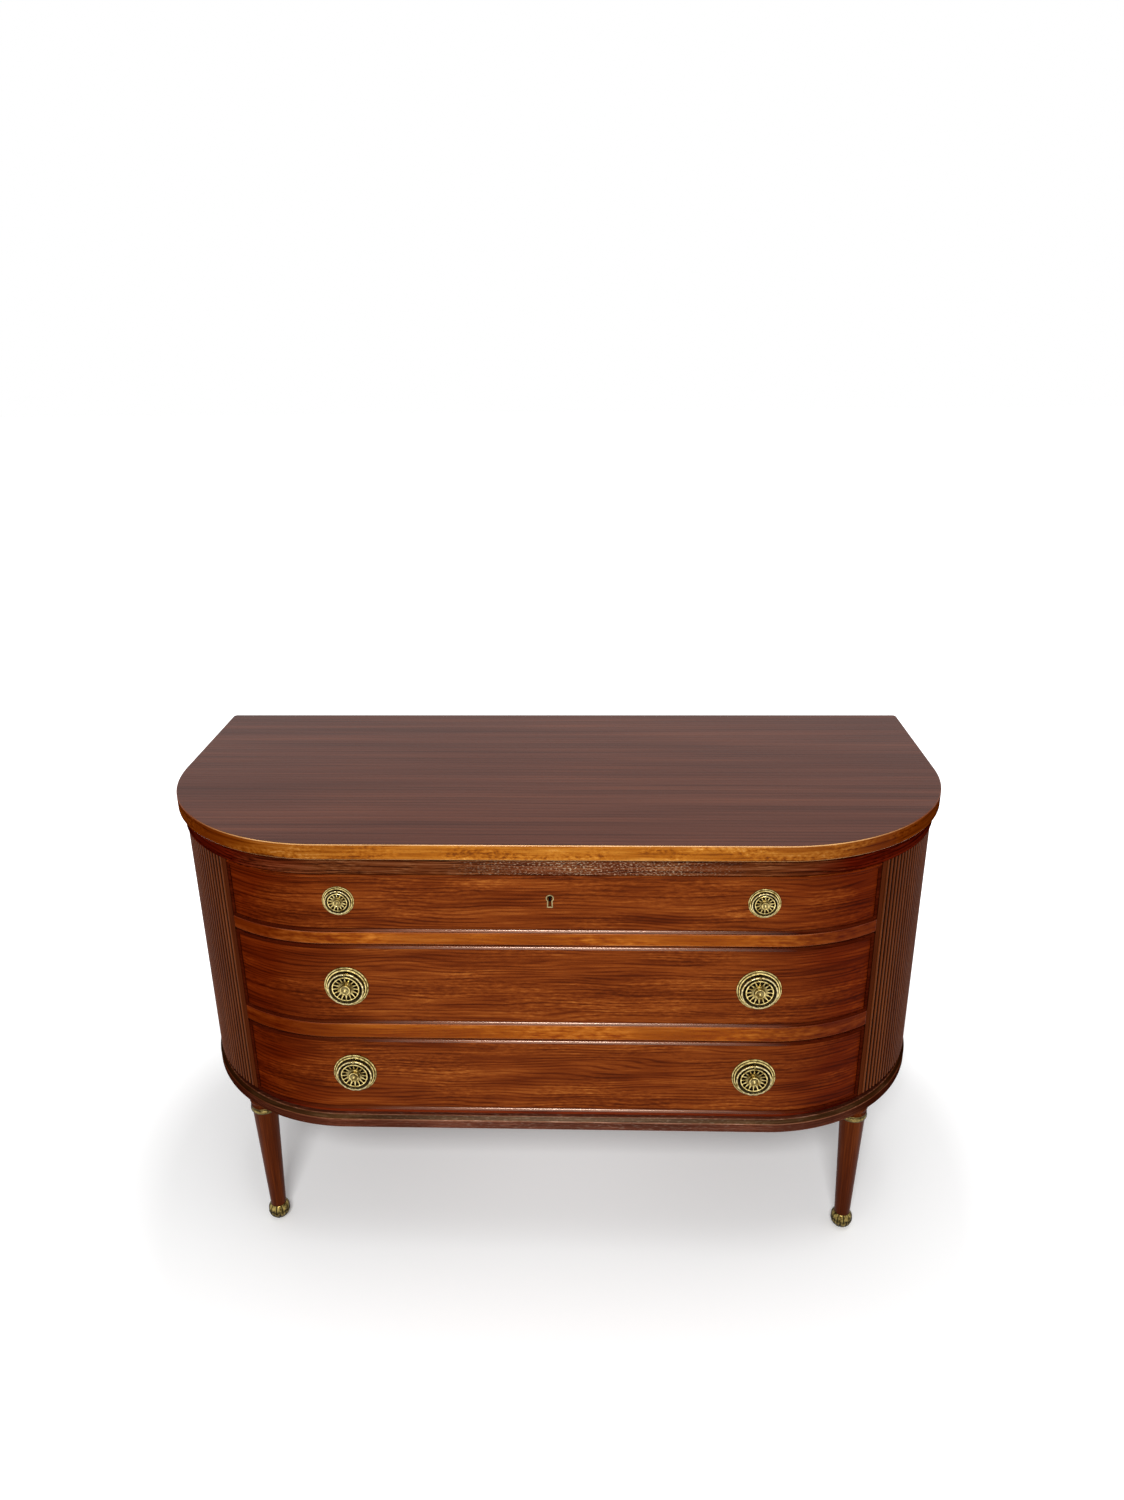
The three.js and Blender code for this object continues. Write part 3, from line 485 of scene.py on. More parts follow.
def raiseOutline(bm, height):  # fills an outline and draws it up to a solid; returns the top face's corners
    weld(bm, "outlineWeld")
    face = bmesh.ops.edgeloop_fill(bm, edges=bm.edges[:])["faces"][0]
    upper = vertsOf(bmesh.ops.extrude_face_region(bm, geom=[face])["geom"])
    bmesh.ops.translate(bm, verts=upper, vec=(0, 0, height))
    return upper


def runOn(bm, ring, vector):  # draws a line of edges out along a vector
    edges = [e for e in ring if isinstance(e, bmesh.types.BMEdge)]
    made = bmesh.ops.extrude_edge_only(bm, edges=edges)["geom"]
    verts = vertsOf(made)
    bmesh.ops.translate(bm, verts=verts, vec=vector)
    moved = set(verts)
    return verts + [e for e in made if isinstance(e, bmesh.types.BMEdge) and set(e.verts) <= moved]


def sweepCorner(bm, section, closed):  # carries (inset, height) points from the front's middle to the side
    verts = [bm.verts.new((0, slabLow.y + inset, z)) for inset, z in section]
    pairs = list(zip(verts, verts[1:])) + ([(verts[-1], verts[0])] if closed else [])
    ring = runOn(bm, [bm.edges.new(pair) for pair in pairs], (cornerX, 0, 0))
    return turnRound(bm, ring, cornerX, cornerY, math.pi / 2, plan["arcSteps"])


def turnProfile(bm, profile, steps, axis="Z"):  # a full turn of (radius, height) points
    verts = [bm.verts.new((r, 0, h) if axis == "Z" else (r, -h, 0)) for r, h in profile]
    edges = [bm.edges.new(pair) for pair in zip(verts, verts[1:])]
    bmesh.ops.spin(bm, geom=verts + edges, cent=(0, 0, 0), axis=(0, 0, 1) if axis == "Z" else (0, 1, 0),
                   angle=math.tau, steps=steps, use_merge=True)
    weld(bm, "outlineWeld")


# Top
slab = {"arris": 0.0017, "arrisSteps": 4, "rearRadius": 0.006, "rearSteps": 8, "band": 0.005,
        "flatFrom": 0.95, "edgeTo": 0.2, "sharpDegrees": 60}


def makeSlab():
    bm = bmesh.new()
    z0, z1 = slabLow.z, slabHigh.z
    ring = sweepCorner(bm, [(slab["band"], z0), (0, z0), (0, z1), (slab["band"], z1)], False)
    ring = runOn(bm, ring, (0, slabHigh.y - slab["rearRadius"] - cornerY, 0))
    ring = turnRound(bm, ring, slabHigh.x - slab["rearRadius"], slabHigh.y - slab["rearRadius"], math.pi / 2,
                     slab["rearSteps"])
    runOn(bm, ring, (slab["rearRadius"] - slabHigh.x, 0, 0))
    mirrorHalf(bm)
    closeEnds(bm)
    easeEdges(bm, slab["arris"], slab["arrisSteps"])
    # faces are picked by tilt: the top, the edge, and the arrises between, which carry painted highlight as
    # well as wear
    for face in bm.faces:
        face.normal_update()
        tilt = abs(face.normal.z)
        face.material_index = 0 if tilt > slab["flatFrom"] else 1 if tilt < slab["edgeTo"] else 2
    materials = [woods["slab"], woods["lipping"], woods["worn"]]
    finishPiece(bm, "top_board", materials, "round", slab["sharpDegrees"])


makeSlab()
print("slab laid")

# Cornice and base
cornice = {"foot": 0.0072, "fillet": 0.0036, "step": 0.0011, "lean": 0.0108, "ease": 0.0004,
           "mortiseGap": 0.0003, "mortiseDepth": 0.008}
base = {"bevelDepth": 0.005, "bevelHeight": 0.0056, "ease": 0.0008, "easeSteps": 3, "easeDegrees": 20,
        "bevelTilt": (0.2, 0.9)}


def cutMortise(bm, z):  # the pocket that the lock's bolt enters
    low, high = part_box("lock_bolt")
    gap = cornice["mortiseGap"]

    def underside():
        return [f for f in bm.faces if abs(f.calc_center_median().z - z) < gap
                and low.x - gap < f.calc_center_median().x < high.x + gap]

    for x in (low.x - gap, high.x + gap):
        bmesh.ops.bisect_plane(bm, geom=bm.verts[:] + bm.edges[:] + bm.faces[:], plane_co=(x, 0, 0),
                               plane_no=(1, 0, 0))
    for y in (low.y - gap, high.y + gap):
        under = underside()
        around = list({e for f in under for e in f.edges}) + list({v for f in under for v in f.verts})
        bmesh.ops.bisect_plane(bm, geom=under + around, plane_co=(0, y, 0), plane_no=(0, 1, 0))
    mouth = [f for f in underside() if low.y - gap < f.calc_center_median().y < high.y + gap]
    made = bmesh.ops.extrude_face_region(bm, geom=mouth)["geom"]
    bmesh.ops.delete(bm, geom=mouth, context="FACES_KEEP_BOUNDARY")
    bmesh.ops.translate(bm, verts=vertsOf(made), vec=(0, 0, cornice["mortiseDepth"]))


def makeCornice():
    bm = bmesh.new()
    z0, z1 = (corner.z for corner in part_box("cornice_moulding"))
    foot, fillet = cornice["foot"], cornice["fillet"]
    ring = sweepCorner(bm, [
        (plan["innerInset"], z0), (foot, z0), (foot, z0 + fillet), (foot + cornice["step"], z0 + fillet),
        (cornice["lean"], z1), (plan["innerInset"], z1)], True)
    runOn(bm, ring, (0, backY - cornerY, 0))
    mirrorHalf(bm)
    closeEnds(bm)
    easeEdges(bm, cornice["ease"])
    cutMortise(bm, z0)
    finishPiece(bm, "cornice_moulding", [woods["frieze"]], "round")


def bodyOutline(bm, inset, z):  # half the plan at an inset, from the front's middle to the back's
    tip = bm.verts.new((0, slabLow.y + inset, z))
    tip = drawTo(bm, tip, cornerX, slabLow.y + inset)
    tip = drawTurn(bm, tip, cornerX, cornerY, math.pi / 2, plan["arcSteps"])
    tip = drawTo(bm, tip, tip.co.x, backY)
    drawTo(bm, tip, 0, backY)
    mirrorHalf(bm)


def makeBase():
    bm = bmesh.new()
    z0, z1 = (corner.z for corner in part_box("base_board"))
    bodyOutline(bm, plan["baseInset"], z0)
    upper = raiseOutline(bm, z1 - base["bevelHeight"] - z0)
    top = [f for f in bm.faces if all(v in upper for v in f.verts)]
    bmesh.ops.inset_region(bm, faces=top, thickness=base["bevelDepth"], use_even_offset=True,
                           use_boundary=True)
    for vert in {v for face in top for v in face.verts}:
        vert.co.z = z1
        if vert.co.y > backY - 2 * base["bevelDepth"]:
            vert.co.y = backY
    weld(bm, "outlineWeld")
    bmesh.ops.recalc_face_normals(bm, faces=bm.faces[:])
    eased = easeEdges(bm, base["ease"], base["easeSteps"], base["easeDegrees"])
    # painted reflection: faces tilted up take the greyer bevel material
    for face in bm.faces:
        face.normal_update()
        face.material_index = 1 if base["bevelTilt"][0] < face.normal.z < base["bevelTilt"][1] else 0
    # the eased arrises: wear, and painted highlight
    for face in eased:
        face.material_index = 2
    materials = [woods["base"], woods["baseBevel"], woods["baseArris"]]
    finishPiece(bm, "base_board", materials, "round")


def makeBottomBoard():
    bm = bmesh.new()
    z0, z1 = (corner.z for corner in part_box("bottom_board"))
    bodyOutline(bm, plan["bottomInset"], z0)
    raiseOutline(bm, z1 - z0)
    finishPiece(bm, "bottom_board", [woods["recess"]], "round", even=False)


makeCornice()
makeBase()
makeBottomBoard()
print("cornice and base laid")

# Rails and reeded sides
rail = {"ease": 0.0009, "endSteps": 24}
reeds = {"depth": 0.0022, "onCorner": 30, "onSide": 28, "steps": 8, "innerSteps": 24, "sharpDegrees": 50,
         "startX": 0.4474, "darkBy": 2.6, "darkFrom": 0.15, "sunkTo": 1.05}
post = {"ease": 0.0006}


def makeRail(node):
    low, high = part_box(node)
    bm = bmesh.new()
    radius = plan["radius"] - plan["faceInset"]
    tip = bm.verts.new((0, faceY, low.z))
    tip = drawTo(bm, tip, cornerX, faceY)
    tip = drawTurn(bm, tip, cornerX, cornerY, math.asin((high.x - cornerX) / radius), rail["endSteps"])
    tip = drawTo(bm, tip, high.x, high.y)
    drawTo(bm, tip, 0, high.y)
    mirrorHalf(bm)
    raiseOutline(bm, high.z - low.z)
    bmesh.ops.recalc_face_normals(bm, faces=bm.faces[:])
    # the eased arrises take the paler material: wear, and painted highlight
    for face in easeEdges(bm, rail["ease"]):
        face.material_index = 1
    finishPiece(bm, node, [woods["rail"], woods["railArris"]], "round")


def makeReeds(node, side):
    low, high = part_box(node)
    crown = plan["radius"] - plan["faceInset"]
    hollow = crown - reeds["depth"]
    start = math.asin((reeds["startX"] - cornerX) / crown)
    pitch = (math.pi / 2 - start) / reeds["onCorner"]
    bm = bmesh.new()

    halfChord = hollow * math.sin(pitch / 2)  # a reed on the corner, then its copies round the corner
    rise = crown - hollow * math.cos(pitch / 2)
    bend = (halfChord ** 2 + rise ** 2) / (2 * rise)
    swing = math.asin(halfChord / bend)
    middle = start + pitch / 2
    axisX = cornerX + (crown - bend) * math.sin(middle)
    axisY = cornerY - (crown - bend) * math.cos(middle)
    edge = middle - swing
    first = bm.verts.new((axisX + bend * math.sin(edge), axisY - bend * math.cos(edge), low.z))
    begin = first.co.copy()
    drawTurn(bm, first, axisX, axisY, 2 * swing, reeds["steps"])
    copies = reeds["onCorner"] - 1
    turnRound(bm, bm.verts[:] + bm.edges[:], cornerX, cornerY, pitch * copies, copies, copies=True)

    pitch = (backY - cornerY) / reeds["onSide"]  # a reed on the straight side, then its copies to the back
    rise = reeds["depth"]
    bend = (pitch ** 2 / 4 + rise ** 2) / (2 * rise)
    swing = math.asin(pitch / 2 / bend)
    done = set(bm.verts)
    first = bm.verts.new((cornerX + hollow, cornerY, low.z))
    drawTurn(bm, first, cornerX + crown - bend, cornerY + pitch / 2, 2 * swing, reeds["steps"])
    verts = [v for v in bm.verts if v not in done]
    edges = [e for e in bm.edges if e.verts[0] not in done]
    bmesh.ops.spin(bm, geom=verts + edges, cent=(0, 0, 0), axis=(0, 0, 1), dvec=(0, pitch, 0), angle=0,
                   steps=reeds["onSide"] - 1, use_duplicate=True)

    innerX = slabHigh.x - plan["innerInset"]  # the panel's plain inner face
    inner = plan["radius"] - plan["innerInset"]
    innerStart = math.asin((reeds["startX"] - cornerX) / inner)
    tip = bm.verts.new((cornerX + hollow, backY, low.z))
    tip = drawTo(bm, tip, innerX, backY)
    tip = drawTo(bm, tip, innerX, cornerY)
    tip = drawTurn(bm, tip, cornerX, cornerY, innerStart - math.pi / 2, reeds["innerSteps"])
    drawTo(bm, tip, begin.x, begin.y)
    raiseOutline(bm, high.z - low.z)
    valley = bm.verts.layers.float.new("valley")
    for vert in bm.verts:  # painted shade lies between the reeds
        sunk = (crown - math.hypot(vert.co.x - cornerX, min(0, vert.co.y - cornerY))) / reeds["depth"]
        outside = sunk < reeds["sunkTo"]
        vert[valley] = min(1, max(0, sunk * reeds["darkBy"] - reeds["darkFrom"])) if outside else 0
    bmesh.ops.scale(bm, verts=bm.verts[:], vec=(side, 1, 1))
    finishPiece(bm, node, [woods["reed"]], "up", reeds["sharpDegrees"], even=False)


makeRail("upper_rail")
makeRail("lower_rail")
makeReeds("right_reeded_panel", 1)
makeReeds("left_reeded_panel", -1)
for node in ("left_front_post", "right_front_post"):
    dressNode(node, [woods["post"]], "up", post["ease"])
print("rails and reeds laid")

# Drawers: fronts and beads are merged copies of the CAD solids, with eased edges
drawer = {"beadEase": 0.0021, "beadSteps": 5, "boxEase": 0.0008, "shadedFrom": 0.64, "threadShare": 1.18,
          "threadEase": 0.00025}
for name in ("top", "middle", "bottom"):
    dressNode(name + "_drawer_front", [woods["ribbon"]], "round")
    bm = copyNode(name + "_drawer_cock_bead")
    easeEdges(bm, drawer["beadEase"], drawer["beadSteps"])
    for face in bm.faces:  # painted shade: the highest bead, under the cornice, takes the duller front material
        face.material_index = face.calc_center_median().z > drawer["shadedFrom"]
    finishPiece(bm, name + "_drawer_cock_bead", [woods["bead"], woods["ribbon"]], "round")
    for part in ("left_side", "right_side", "back", "bottom"):
        wood = "oakAlongY" if "side" in part else "oakAlongX"
        dressNode(f"{name}_drawer_{part}", [woods[wood]], ease=drawer["boxEase"])
for node in ("upper_dust_board", "lower_dust_board", "back_panel", "left_side_board", "right_side_board"):
    wood = "pineAlongY" if "side" in node else "pineAlongX"
    dressNode(node, [woods[wood]], ease=drawer["boxEase"])
for node in ("lock_case", "lock_bolt"):
    dressNode(node, [metals["lock"]])
bm = copyNode("escutcheon")
middle = sum((v.co for v in bm.verts), Vector()) / len(bm.verts)
bmesh.ops.scale(bm, verts=bm.verts[:], vec=(drawer["threadShare"], 1, drawer["threadShare"]),
                space=Matrix.Translation(-middle))
easeEdges(bm, drawer["threadEase"])
finishPiece(bm, "escutcheon", [metals["thread"]])
print("drawers laid")

# Legs, collars and ball feet
leg = {
    "steps": 56, "shaftTop": 0.0184, "shaftFoot": 0.0116, "neck": 0.0208, "dowel": 0.009,
    "dowelLength": 0.014, "fillet": 0.0009, "filletInset": 0.001, "cove": 0.0024, "bead": 0.0038,
    "beadProud": 0.0017, "arcSteps": 6, "seat": 0.0003,
}
collar = {"radius": 0.0209, "inner": 0.0184, "band": 0.0068, "bandProud": 0.0016, "lipInset": 0.0008,
          "lipProud": 0.0009, "lipTarnish": 0.35, "arcSteps": 8}
ball = {
    "radius": 0.0165, "petals": 10, "stepsPerPetal": 8, "rows": 20, "groove": 0.0011, "flatShare": 0.14,
    "soleShare": 1.2, "zigzagShare": 0.22, "midShare": 0.1, "petalEdge": 2.2, "seamEdge": 9,
    "tarnish": 0.85,
}


def swell(radius, proud, z0, z1, steps):  # half a round, drawn as (radius, height) points
    points = []
    for i in range(steps + 1):
        angle = math.pi * (i / steps - 0.5)
        points.append((radius + proud * math.cos(angle), (z0 + z1) / 2 + (z1 - z0) / 2 * math.sin(angle)))
    return points


def standOnAxle(bm, node):  # sets a turned piece over the middle of its CAD node, and returns that place
    low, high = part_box(node)
    axle = ((low.x + high.x) / 2, (low.y + high.y) / 2)
    bmesh.ops.translate(bm, verts=bm.verts[:], vec=(*axle, 0))
    return axle


def makeLeg(node):
    low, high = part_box(node)
    collarLow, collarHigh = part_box(node.replace("_leg", "_collar"))
    shoulder = high.z - leg["dowelLength"]
    neckLow = collarHigh.z + leg["seat"]
    fillet = leg["neck"] - leg["filletInset"]
    profile = [(0, low.z), (leg["shaftFoot"], low.z), (leg["shaftTop"], collarLow.z),
               (leg["shaftTop"], neckLow), (fillet, neckLow), (fillet, neckLow + leg["fillet"])]
    profile += swell(fillet, -leg["cove"], neckLow + leg["fillet"], shoulder - leg["bead"], leg["arcSteps"])
    profile += swell(leg["neck"] - leg["beadProud"], leg["beadProud"], shoulder - leg["bead"], shoulder,
                     leg["arcSteps"])
    profile += [(leg["dowel"], shoulder), (leg["dowel"], high.z), (0, high.z)]
    bm = bmesh.new()
    turnProfile(bm, profile, leg["steps"])
    axle = standOnAxle(bm, node)
    finishPiece(bm, node, [woods["leg"]], "turned", axle=axle)


def makeCollar(node):  # a broad rounded band under a thin lip
    low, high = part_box(node)
    seam = low.z + collar["band"]
    profile = [(collar["inner"], low.z)]
    for radius, proud, z0, z1 in ((collar["radius"], collar["bandProud"], low.z, seam),
                                  (collar["radius"] - collar["lipInset"], collar["lipProud"], seam, high.z)):
        profile += swell(radius - proud, proud, z0, z1, collar["arcSteps"])
    profile += [(collar["inner"], high.z), (collar["inner"], low.z)]
    bm = bmesh.new()
    turnProfile(bm, profile, leg["steps"])
    tarnish = bm.verts.layers.float.new("tarnish")
    for vert in bm.verts:
        vert[tarnish] = collar["lipTarnish"] if vert.co.z > seam - collar["lipInset"] else 0
    standOnAxle(bm, node)
    finishPiece(bm, node, [metals["collar"]])


def makeBall(node):
    low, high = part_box(node)
    radius = ball["radius"]
    flat = (high.x - low.x) * ball["flatShare"]
    centreZ = math.sqrt(radius ** 2 - flat ** 2)
    first, last = math.asin(-centreZ / radius), math.asin((high.z - centreZ) / radius)
    profile = [(0, 0)]
    for i in range(ball["rows"] + 1):
        angle = first + (last - first) * i / ball["rows"]
        profile.append((radius * math.cos(angle), centreZ + radius * math.sin(angle)))
    profile.append((0, high.z))
    bm = bmesh.new()
    turnProfile(bm, profile, ball["petals"] * ball["stepsPerPetal"])
    tarnish = bm.verts.layers.float.new("tarnish")
    for vert in bm.verts:  # petals above and below, half a petal apart, with a zigzag groove between them
        span = Vector((vert.co.x, vert.co.y, 0))
        if span.length < flat * ball["soleShare"]:
            continue
        turn = math.atan2(vert.co.y, vert.co.x) * ball["petals"] / 2
        rise = (vert.co.z - centreZ) / radius - ball["zigzagShare"] * abs(math.cos(turn)) + ball["midShare"]
        crease = abs(math.cos(turn)) if rise > 0 else abs(math.sin(turn))
        deep = max(1 - min(1, crease * ball["petalEdge"]), 1 - min(1, abs(rise) * ball["seamEdge"]))
        vert[tarnish] = ball["tarnish"] * deep
        vert.co -= span.normalized() * ball["groove"] * deep
    standOnAxle(bm, node)
    finishPiece(bm, node, [metals["foot"]])


for corner in ("front_left", "front_right", "rear_left", "rear_right"):
    makeLeg(corner + "_leg")
    makeCollar(corner + "_collar")
    makeBall(corner + "_ball_foot")
print("legs laid")

# Ring pulls. The two radii and the seat are metres, the other sizes shares of the backplate's radius.
pull = {
    "large": 0.0305, "small": 0.0214, "largePetals": 16, "smallPetals": 14, "seat": 0.0003,
    "profile": [  # radius, height, tarnish
        # tarnish in the trough under the ring is partly patina, partly painted shade
        (0, -0.01, 0.5), (1, -0.01, 0.6), (1, 0.03, 0.5), (0.985, 0.05, 0.15), (0.955, 0.06, 0.35),
        (0.935, 0.055, 0.8), (0.92, 0.075, 0.7), (0.9, 0.105, 0.1), (0.86, 0.108, 0.2), (0.84, 0.095, 0.6),
        (0.82, 0.06, 0.75),
        (0.74, 0.045, 0.8), (0.67, 0.06, 0.8), (0.645, 0.1, 0.7), (0.635, 0.22, 0.4), (0.62, 0.25, 0.1),
        (0.6, 0.262, 0), (0.575, 0.257, 0.1), (0.565, 0.252, 0.1), (0.55, 0.247, 0.1), (0.5, 0.235, 0.15),
        (0.45, 0.226, 0.2), (0.4, 0.218, 0.3), (0.35, 0.21, 0.4), (0.335, 0.2, 0.55), (0.265, 0.195, 0.5),
        (0.25, 0.21, 0.3), (0.245, 0.31, 0.1), (0.24, 0.345, 0.1), (0.226, 0.37, 0), (0.205, 0.378, 0),
        (0.185, 0.365, 0.4), (0.14, 0.345, 0.7), (0.09, 0.35, 0.5), (0.06, 0.385, 0.1), (0.04, 0.42, 0),
        (0, 0.44, 0),
    ],
    "stepsPerPetal": 8, "slotHalf": 2,  # a slot takes two steps to each side of its middle
    "slotWidths": {  # how much wider it is drawn at each radius
        0.575: 1.05, 0.565: 1.5, 0.55: 1.7, 0.5: 1.7, 0.45: 1.45, 0.4: 1.15, 0.35: 0.8},
    "rowWithin": 0.004, "frontFrom": 0.1, "slotInset": 0.008, "slotDepth": 0.09, "slotTarnish": 1,
    "turn": 0.77, "wire": 0.063, "drop": 0.026, "proud": 0.225, "cadTurnSteps": 24,
    "knuckle": 0.085, "knuckleWidth": 0.12, "knuckleEase": 0.03, "knuckleSides": 24, "knuckleSteps": 3,
    "knuckleBend": 1, "lug": (0.09, 0.2, 0.15), "lugPlace": 0.13, "lugTarnish": 0.55,
}
ring = {  # sizes are shares of the wire's radius, but a leaf's length is one of its stretch of the ring
    "core": 0.72, "coreSides": 12, "coreSteps": 96, "coreTarnish": 0.9,
    "leaves": 16, "leafSides": 12, "leafRows": 10, "leafLength": 0.53, "leafTaper": 0.25,
    "leafWidth": 0.8, "leafSwell": 0.28, "leafThickness": 0.98,
    "tarnish": 0.35, "tarnishInwards": 0.6, "leastTarnish": 0.1, "mostTarnish": 0.8,
}


def petalPlace(point, radius, steps):  # the share of the radius, and the steps off the petal's middle
    turned = math.atan2(point.x, point.z) / math.tau % 1 * steps
    return math.hypot(point.x, point.z) / radius, turned % pull["stepsPerPetal"] - pull["stepsPerPetal"] / 2


def cutSlots(bm, radius, steps, tarnish):  # sinks a slot into each petal of the rosette
    half, slotHalf, widths = pull["stepsPerPetal"] / 2, pull["slotHalf"], pull["slotWidths"]
    front = -pull["frontFrom"] * radius
    slots = []
    for face in bm.faces:
        middle = face.calc_center_median()
        share, off = petalPlace(middle, radius, steps)
        if min(widths) < share < max(widths) and middle.y < front and abs(off) < slotHalf:
            slots.append(face)
    for vert in bm.verts:  # the slots swell outwards, like drops
        share, off = petalPlace(vert.co, radius, steps)
        width = [w for row, w in widths.items() if abs(row - share) < pull["rowWithin"]]
        if width and vert.co.y < front:
            moved = abs(off) * width[0]
            if abs(off) > slotHalf:
                moved = half - (half - abs(off)) * (half - slotHalf * width[0]) / (half - slotHalf)
            turn = (math.copysign(moved, off) - off) / steps * math.tau
            vert.co = Matrix.Rotation(turn, 3, "Y") @ vert.co
    bmesh.ops.inset_region(bm, faces=slots, thickness=radius * pull["slotInset"], use_even_offset=True)
    sunk = list({v for face in slots for v in face.verts})
    bmesh.ops.translate(bm, verts=sunk, vec=(0, radius * pull["slotDepth"], 0))
    # the slots' floors take full tarnish: patina, and painted shade for their depth
    for vert in sunk:
        vert[tarnish] = pull["slotTarnish"]


def addLug(bm, radius, tarnish):  # a round knuckle on a foot, at the ring's pivot
    plate = set(bm.verts)
    pivot = radius * (pull["turn"] * math.cos(math.pi / pull["cadTurnSteps"]) - pull["drop"])
    hang = Matrix.Translation((0, -pull["proud"] * radius, pivot)) @ Matrix.Rotation(math.pi / 2, 4, "Y")
    knuckle = bmesh.ops.create_cone(
        bm, cap_ends=True, segments=pull["knuckleSides"], radius1=radius * pull["knuckle"],
        radius2=radius * pull["knuckle"], depth=radius * pull["knuckleWidth"], matrix=hang)["verts"]
    edges = list({e for v in knuckle for e in v.link_edges if e.calc_face_angle(0) > pull["knuckleBend"]})
    bevelEdges(bm, edges, radius * pull["knuckleEase"], pull["knuckleSteps"])
    size = Matrix.Diagonal((*(radius * share for share in pull["lug"]), 1))
    stand = Matrix.Translation((0, -pull["lugPlace"] * radius, pivot))
    bmesh.ops.create_cube(bm, size=1, matrix=stand @ size)
    for vert in bm.verts:
        if vert not in plate:
            vert[tarnish] = pull["lugTarnish"]


def makePlate(node, radius, petals):
    low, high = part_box(node)
    steps = petals * pull["stepsPerPetal"]
    bm = bmesh.new()
    turnProfile(bm, [(r * radius, h * radius) for r, h, _ in pull["profile"]], steps, "Y")
    tarnish = bm.verts.layers.float.new("tarnish")
    for vert in bm.verts:
        share, height = math.hypot(vert.co.x, vert.co.z) / radius, -vert.co.y / radius
        vert[tarnish] = min(pull["profile"], key=lambda p: abs(p[0] - share) + abs(p[1] - height))[2]
    cutSlots(bm, radius, steps, tarnish)
    addLug(bm, radius, tarnish)
    centre = ((low.x + high.x) / 2, faceY - pull["seat"], (low.z + high.z) / 2)
    bmesh.ops.translate(bm, verts=bm.verts[:], vec=centre)
    finishPiece(bm, node, [metals["pull"]])


def makeRing(node, radius, plateNode):
    low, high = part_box(plateNode)
    turn, wire = pull["turn"] * radius, pull["wire"] * radius
    bm = bmesh.new()
    bmesh.ops.create_circle(bm, segments=ring["coreSides"], radius=wire * ring["core"],
                            matrix=Matrix.Translation((turn, 0, 0)))
    bmesh.ops.spin(bm, geom=bm.verts[:] + bm.edges[:], cent=(0, 0, 0), axis=(0, 1, 0), angle=math.tau,
                   steps=ring["coreSteps"], use_merge=True)
    core = set(bm.verts)
    length = math.tau * turn / ring["leaves"]
    for i in range(ring["leaves"]):  # laurel leaves lie nose to tail down both halves
        angle = math.tau * (i + 0.5) / ring["leaves"]
        made = bmesh.ops.create_uvsphere(bm, u_segments=ring["leafSides"], v_segments=ring["leafRows"],
                                         radius=1)["verts"]
        for vert in made:
            vert.co.x *= 1 - ring["leafTaper"] * vert.co.z ** 2
        full = 1 - abs(math.cos(angle / 2))  # slimmer near the lug
        width = wire * (ring["leafWidth"] + ring["leafSwell"] * full)
        size = (width, wire * ring["leafThickness"], length * ring["leafLength"])
        bmesh.ops.scale(bm, verts=made, vec=size)
        bmesh.ops.rotate(bm, verts=made, cent=(0, 0, 0), matrix=Matrix.Rotation(math.pi / 2, 3, "Y"))
        bmesh.ops.translate(bm, verts=made, vec=(0, 0, turn))
        bmesh.ops.rotate(bm, verts=made, cent=(0, 0, 0), matrix=Matrix.Rotation(angle, 3, "Y"))
    tarnish = bm.verts.layers.float.new("tarnish")
    for vert in bm.verts:  # dark between the leaves and on the inner side, rubbed bright outside
        inwards = (turn - math.hypot(vert.co.x, vert.co.z)) / wire
        dull = ring["tarnish"] + ring["tarnishInwards"] * inwards
        dull = min(ring["mostTarnish"], max(ring["leastTarnish"], dull))
        vert[tarnish] = ring["coreTarnish"] if vert in core else dull
    bmesh.ops.translate(bm, verts=bm.verts[:], vec=(
        (low.x + high.x) / 2, faceY - pull["proud"] * radius, (low.z + high.z) / 2 - pull["drop"] * radius))
    finishPiece(bm, node, [metals["ring"]])


for name in ("top", "middle", "bottom"):
    size = "small" if name == "top" else "large"
    for hand in ("left", "right"):
        plateNode = f"{name}_{hand}_pull_plate"
        makePlate(plateNode, pull[size], pull[size + "Petals"])
        makeRing(f"{name}_{hand}_pull_ring", pull[size], plateNode)
print("pulls laid")

# Camera, at the photograph's place
view = {"place": (0.06674, -1.48091, 1.32418), "yaw": -0.0385175, "pitch": 0.3814001, "roll": -0.0131209,
        "lens": 26.05, "sensor": 36}


def makeCamera():
    yaw, pitch, roll = view["yaw"], view["pitch"], view["roll"]
    ahead = Vector((math.sin(yaw) * math.cos(pitch), math.cos(yaw) * math.cos(pitch), -math.sin(pitch)))
    right = Vector((math.cos(yaw), -math.sin(yaw), 0))
    up = right.cross(ahead)
    right, up = right * math.cos(roll) + up * math.sin(roll), up * math.cos(roll) - right * math.sin(roll)
    data = bpy.data.cameras.new("photoCamera")
    data.lens, data.sensor_width, data.sensor_fit = view["lens"], view["sensor"], "AUTO"
    camera = addObject("photoCamera", data)
    turned = Matrix((right, up, -ahead)).transposed().to_4x4()
    camera.matrix_world = Matrix.Translation(view["place"]) @ turned
    scene.camera = camera


# Floor, white surroundings and soft lamps
studio = {
    "floorSize": 30, "floorWhite": "f2f2f2", "floorGlow": 0.17, "whiteFrom": (0.65, 1.2),
    "underWithin": 0.35, "underGlow": 0.06, "worldFill": 0.35,
    "lamps": [  # name, place, aim, width, height, watts
        ("keyLamp", (-0.1, -2.6, 2.5), (0, 0, 0.45), 0.8, 0.5, 64),
        ("topLamp", (0.2, 0.1, 3.0), (0, 0, 0.3), 2.4, 2.0, 46),
    ],
}


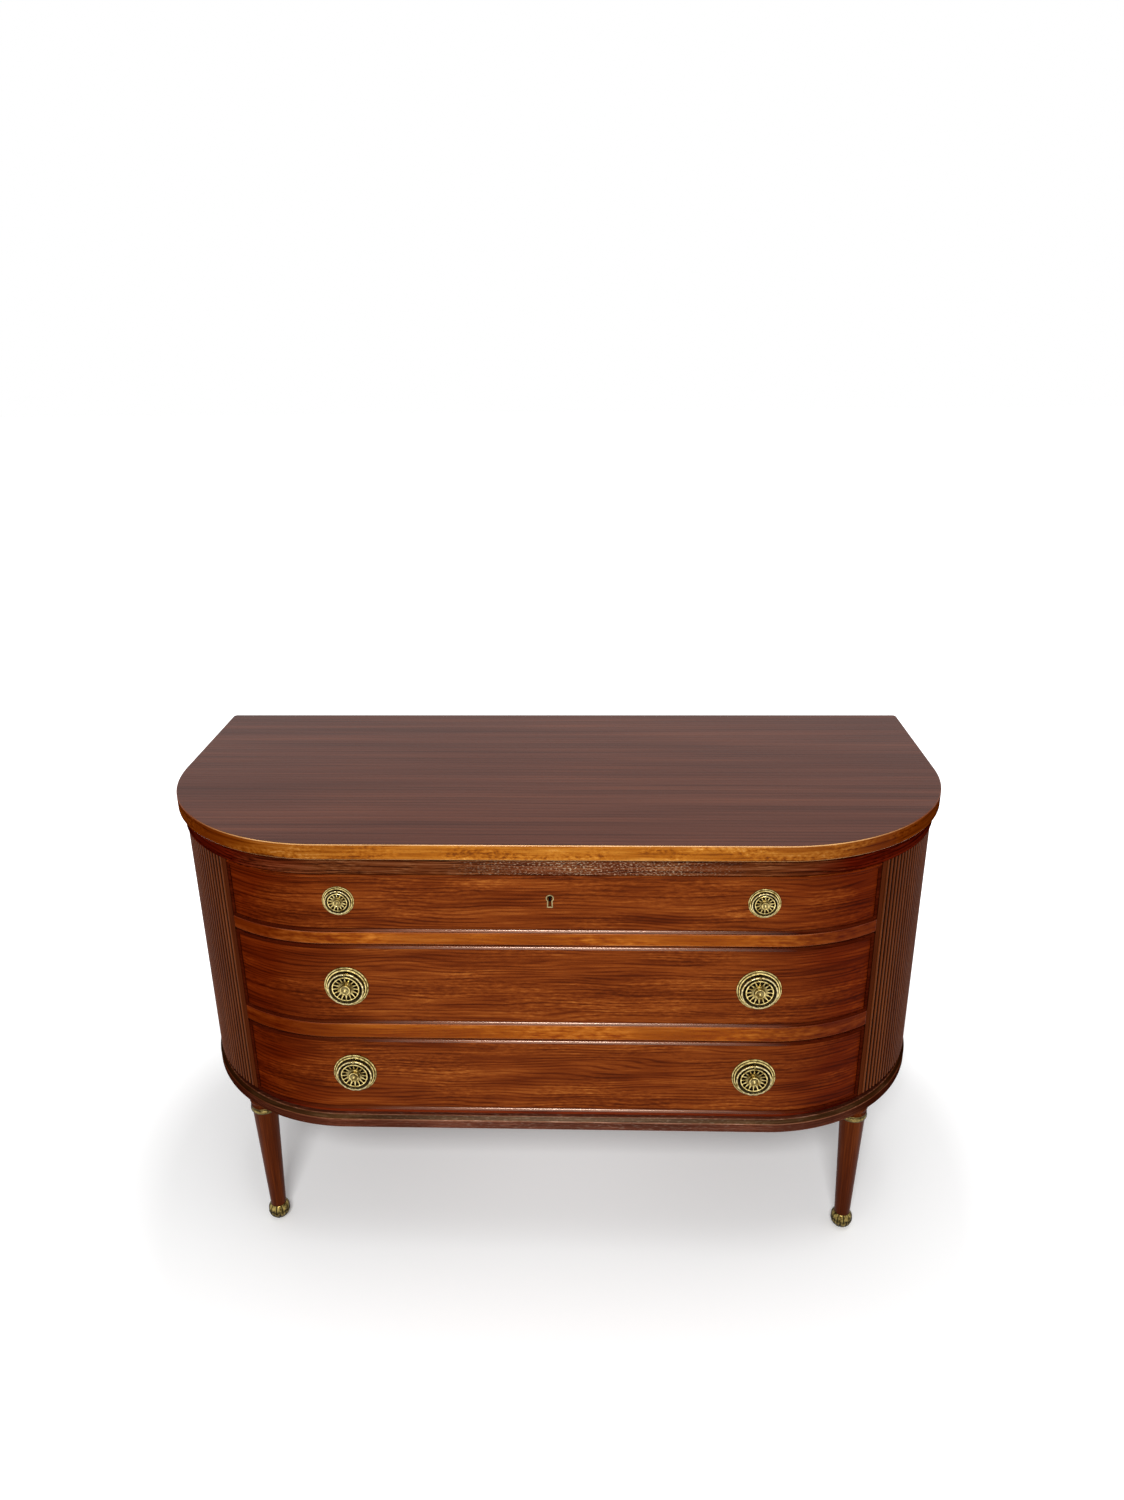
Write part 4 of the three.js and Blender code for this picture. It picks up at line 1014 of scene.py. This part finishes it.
def seenByEye(tree):  # 1 for what the camera sees, straight, mirrored or through glass; 0 for light
    path = addNode(tree, "LightPath").outputs
    seen = maths(tree, "MAXIMUM", path["Is Camera Ray"], path["Is Glossy Ray"])
    return maths(tree, "MAXIMUM", seen, path["Is Transmission Ray"])


def makeFloor():  # white paper, which the eye sees lifted to white with its shadow kept; a painted glow lightens the shadow under the body
    bm = bmesh.new()
    bmesh.ops.create_grid(bm, x_segments=2, y_segments=2, size=studio["floorSize"] / 2)
    mesh = newMesh(bm, "floor")
    floor = addObject("floor", mesh)
    material, tree = newMaterial("floorPaper")
    away = addNode(tree, "VectorMath", {"operation": "LENGTH"}, {
        0: addNode(tree, "TexCoord").outputs["Object"]}).outputs["Value"]
    whiter = window(tree, away, *studio["whiteFrom"], studio["floorGlow"])
    # painted light: a glow near the middle lightens the shadow under the body
    under = window(tree, away, 0, studio["underWithin"], studio["underGlow"], 0)
    under.interpolation_type = "SMOOTHSTEP"
    strength = maths(tree, "MULTIPLY", seenByEye(tree), maths(tree, "ADD", whiter, under))
    paper = addNode(tree, "BsdfDiffuse", inputs={"Color": toLinear(studio["floorWhite"])})
    glow = addNode(tree, "Emission", inputs={"Color": (1, 1, 1, 1), "Strength": strength})
    both = addNode(tree, "AddShader", inputs={0: paper, 1: glow})
    addNode(tree, "OutputMaterial", inputs={"Surface": both})
    mesh.materials.append(material)


def makeSurroundings():
    world = bpy.data.worlds.new("whiteRoom")
    world.use_nodes = True
    tree = world.node_tree
    tree.nodes.clear()
    strength = window(tree, seenByEye(tree), 0, 1, studio["worldFill"])
    background = addNode(tree, "Background", inputs={"Color": (1, 1, 1, 1), "Strength": strength})
    addNode(tree, "OutputWorld", inputs={"Surface": background})
    scene.world = world


def makeLamps():
    for name, place, aim, width, height, watts in studio["lamps"]:
        data = bpy.data.lights.new(name, "AREA")
        data.shape, data.size, data.size_y, data.energy = "RECTANGLE", width, height, watts
        lamp = addObject(name, data)
        lamp.location = place
        lamp.rotation_mode = "QUATERNION"
        lamp.rotation_quaternion = (Vector(aim) - Vector(place)).to_track_quat("-Z", "Y")


makeCamera()
makeFloor()
makeSurroundings()
makeLamps()
scene.view_settings.view_transform = "Standard"
print("camera and lamps set")
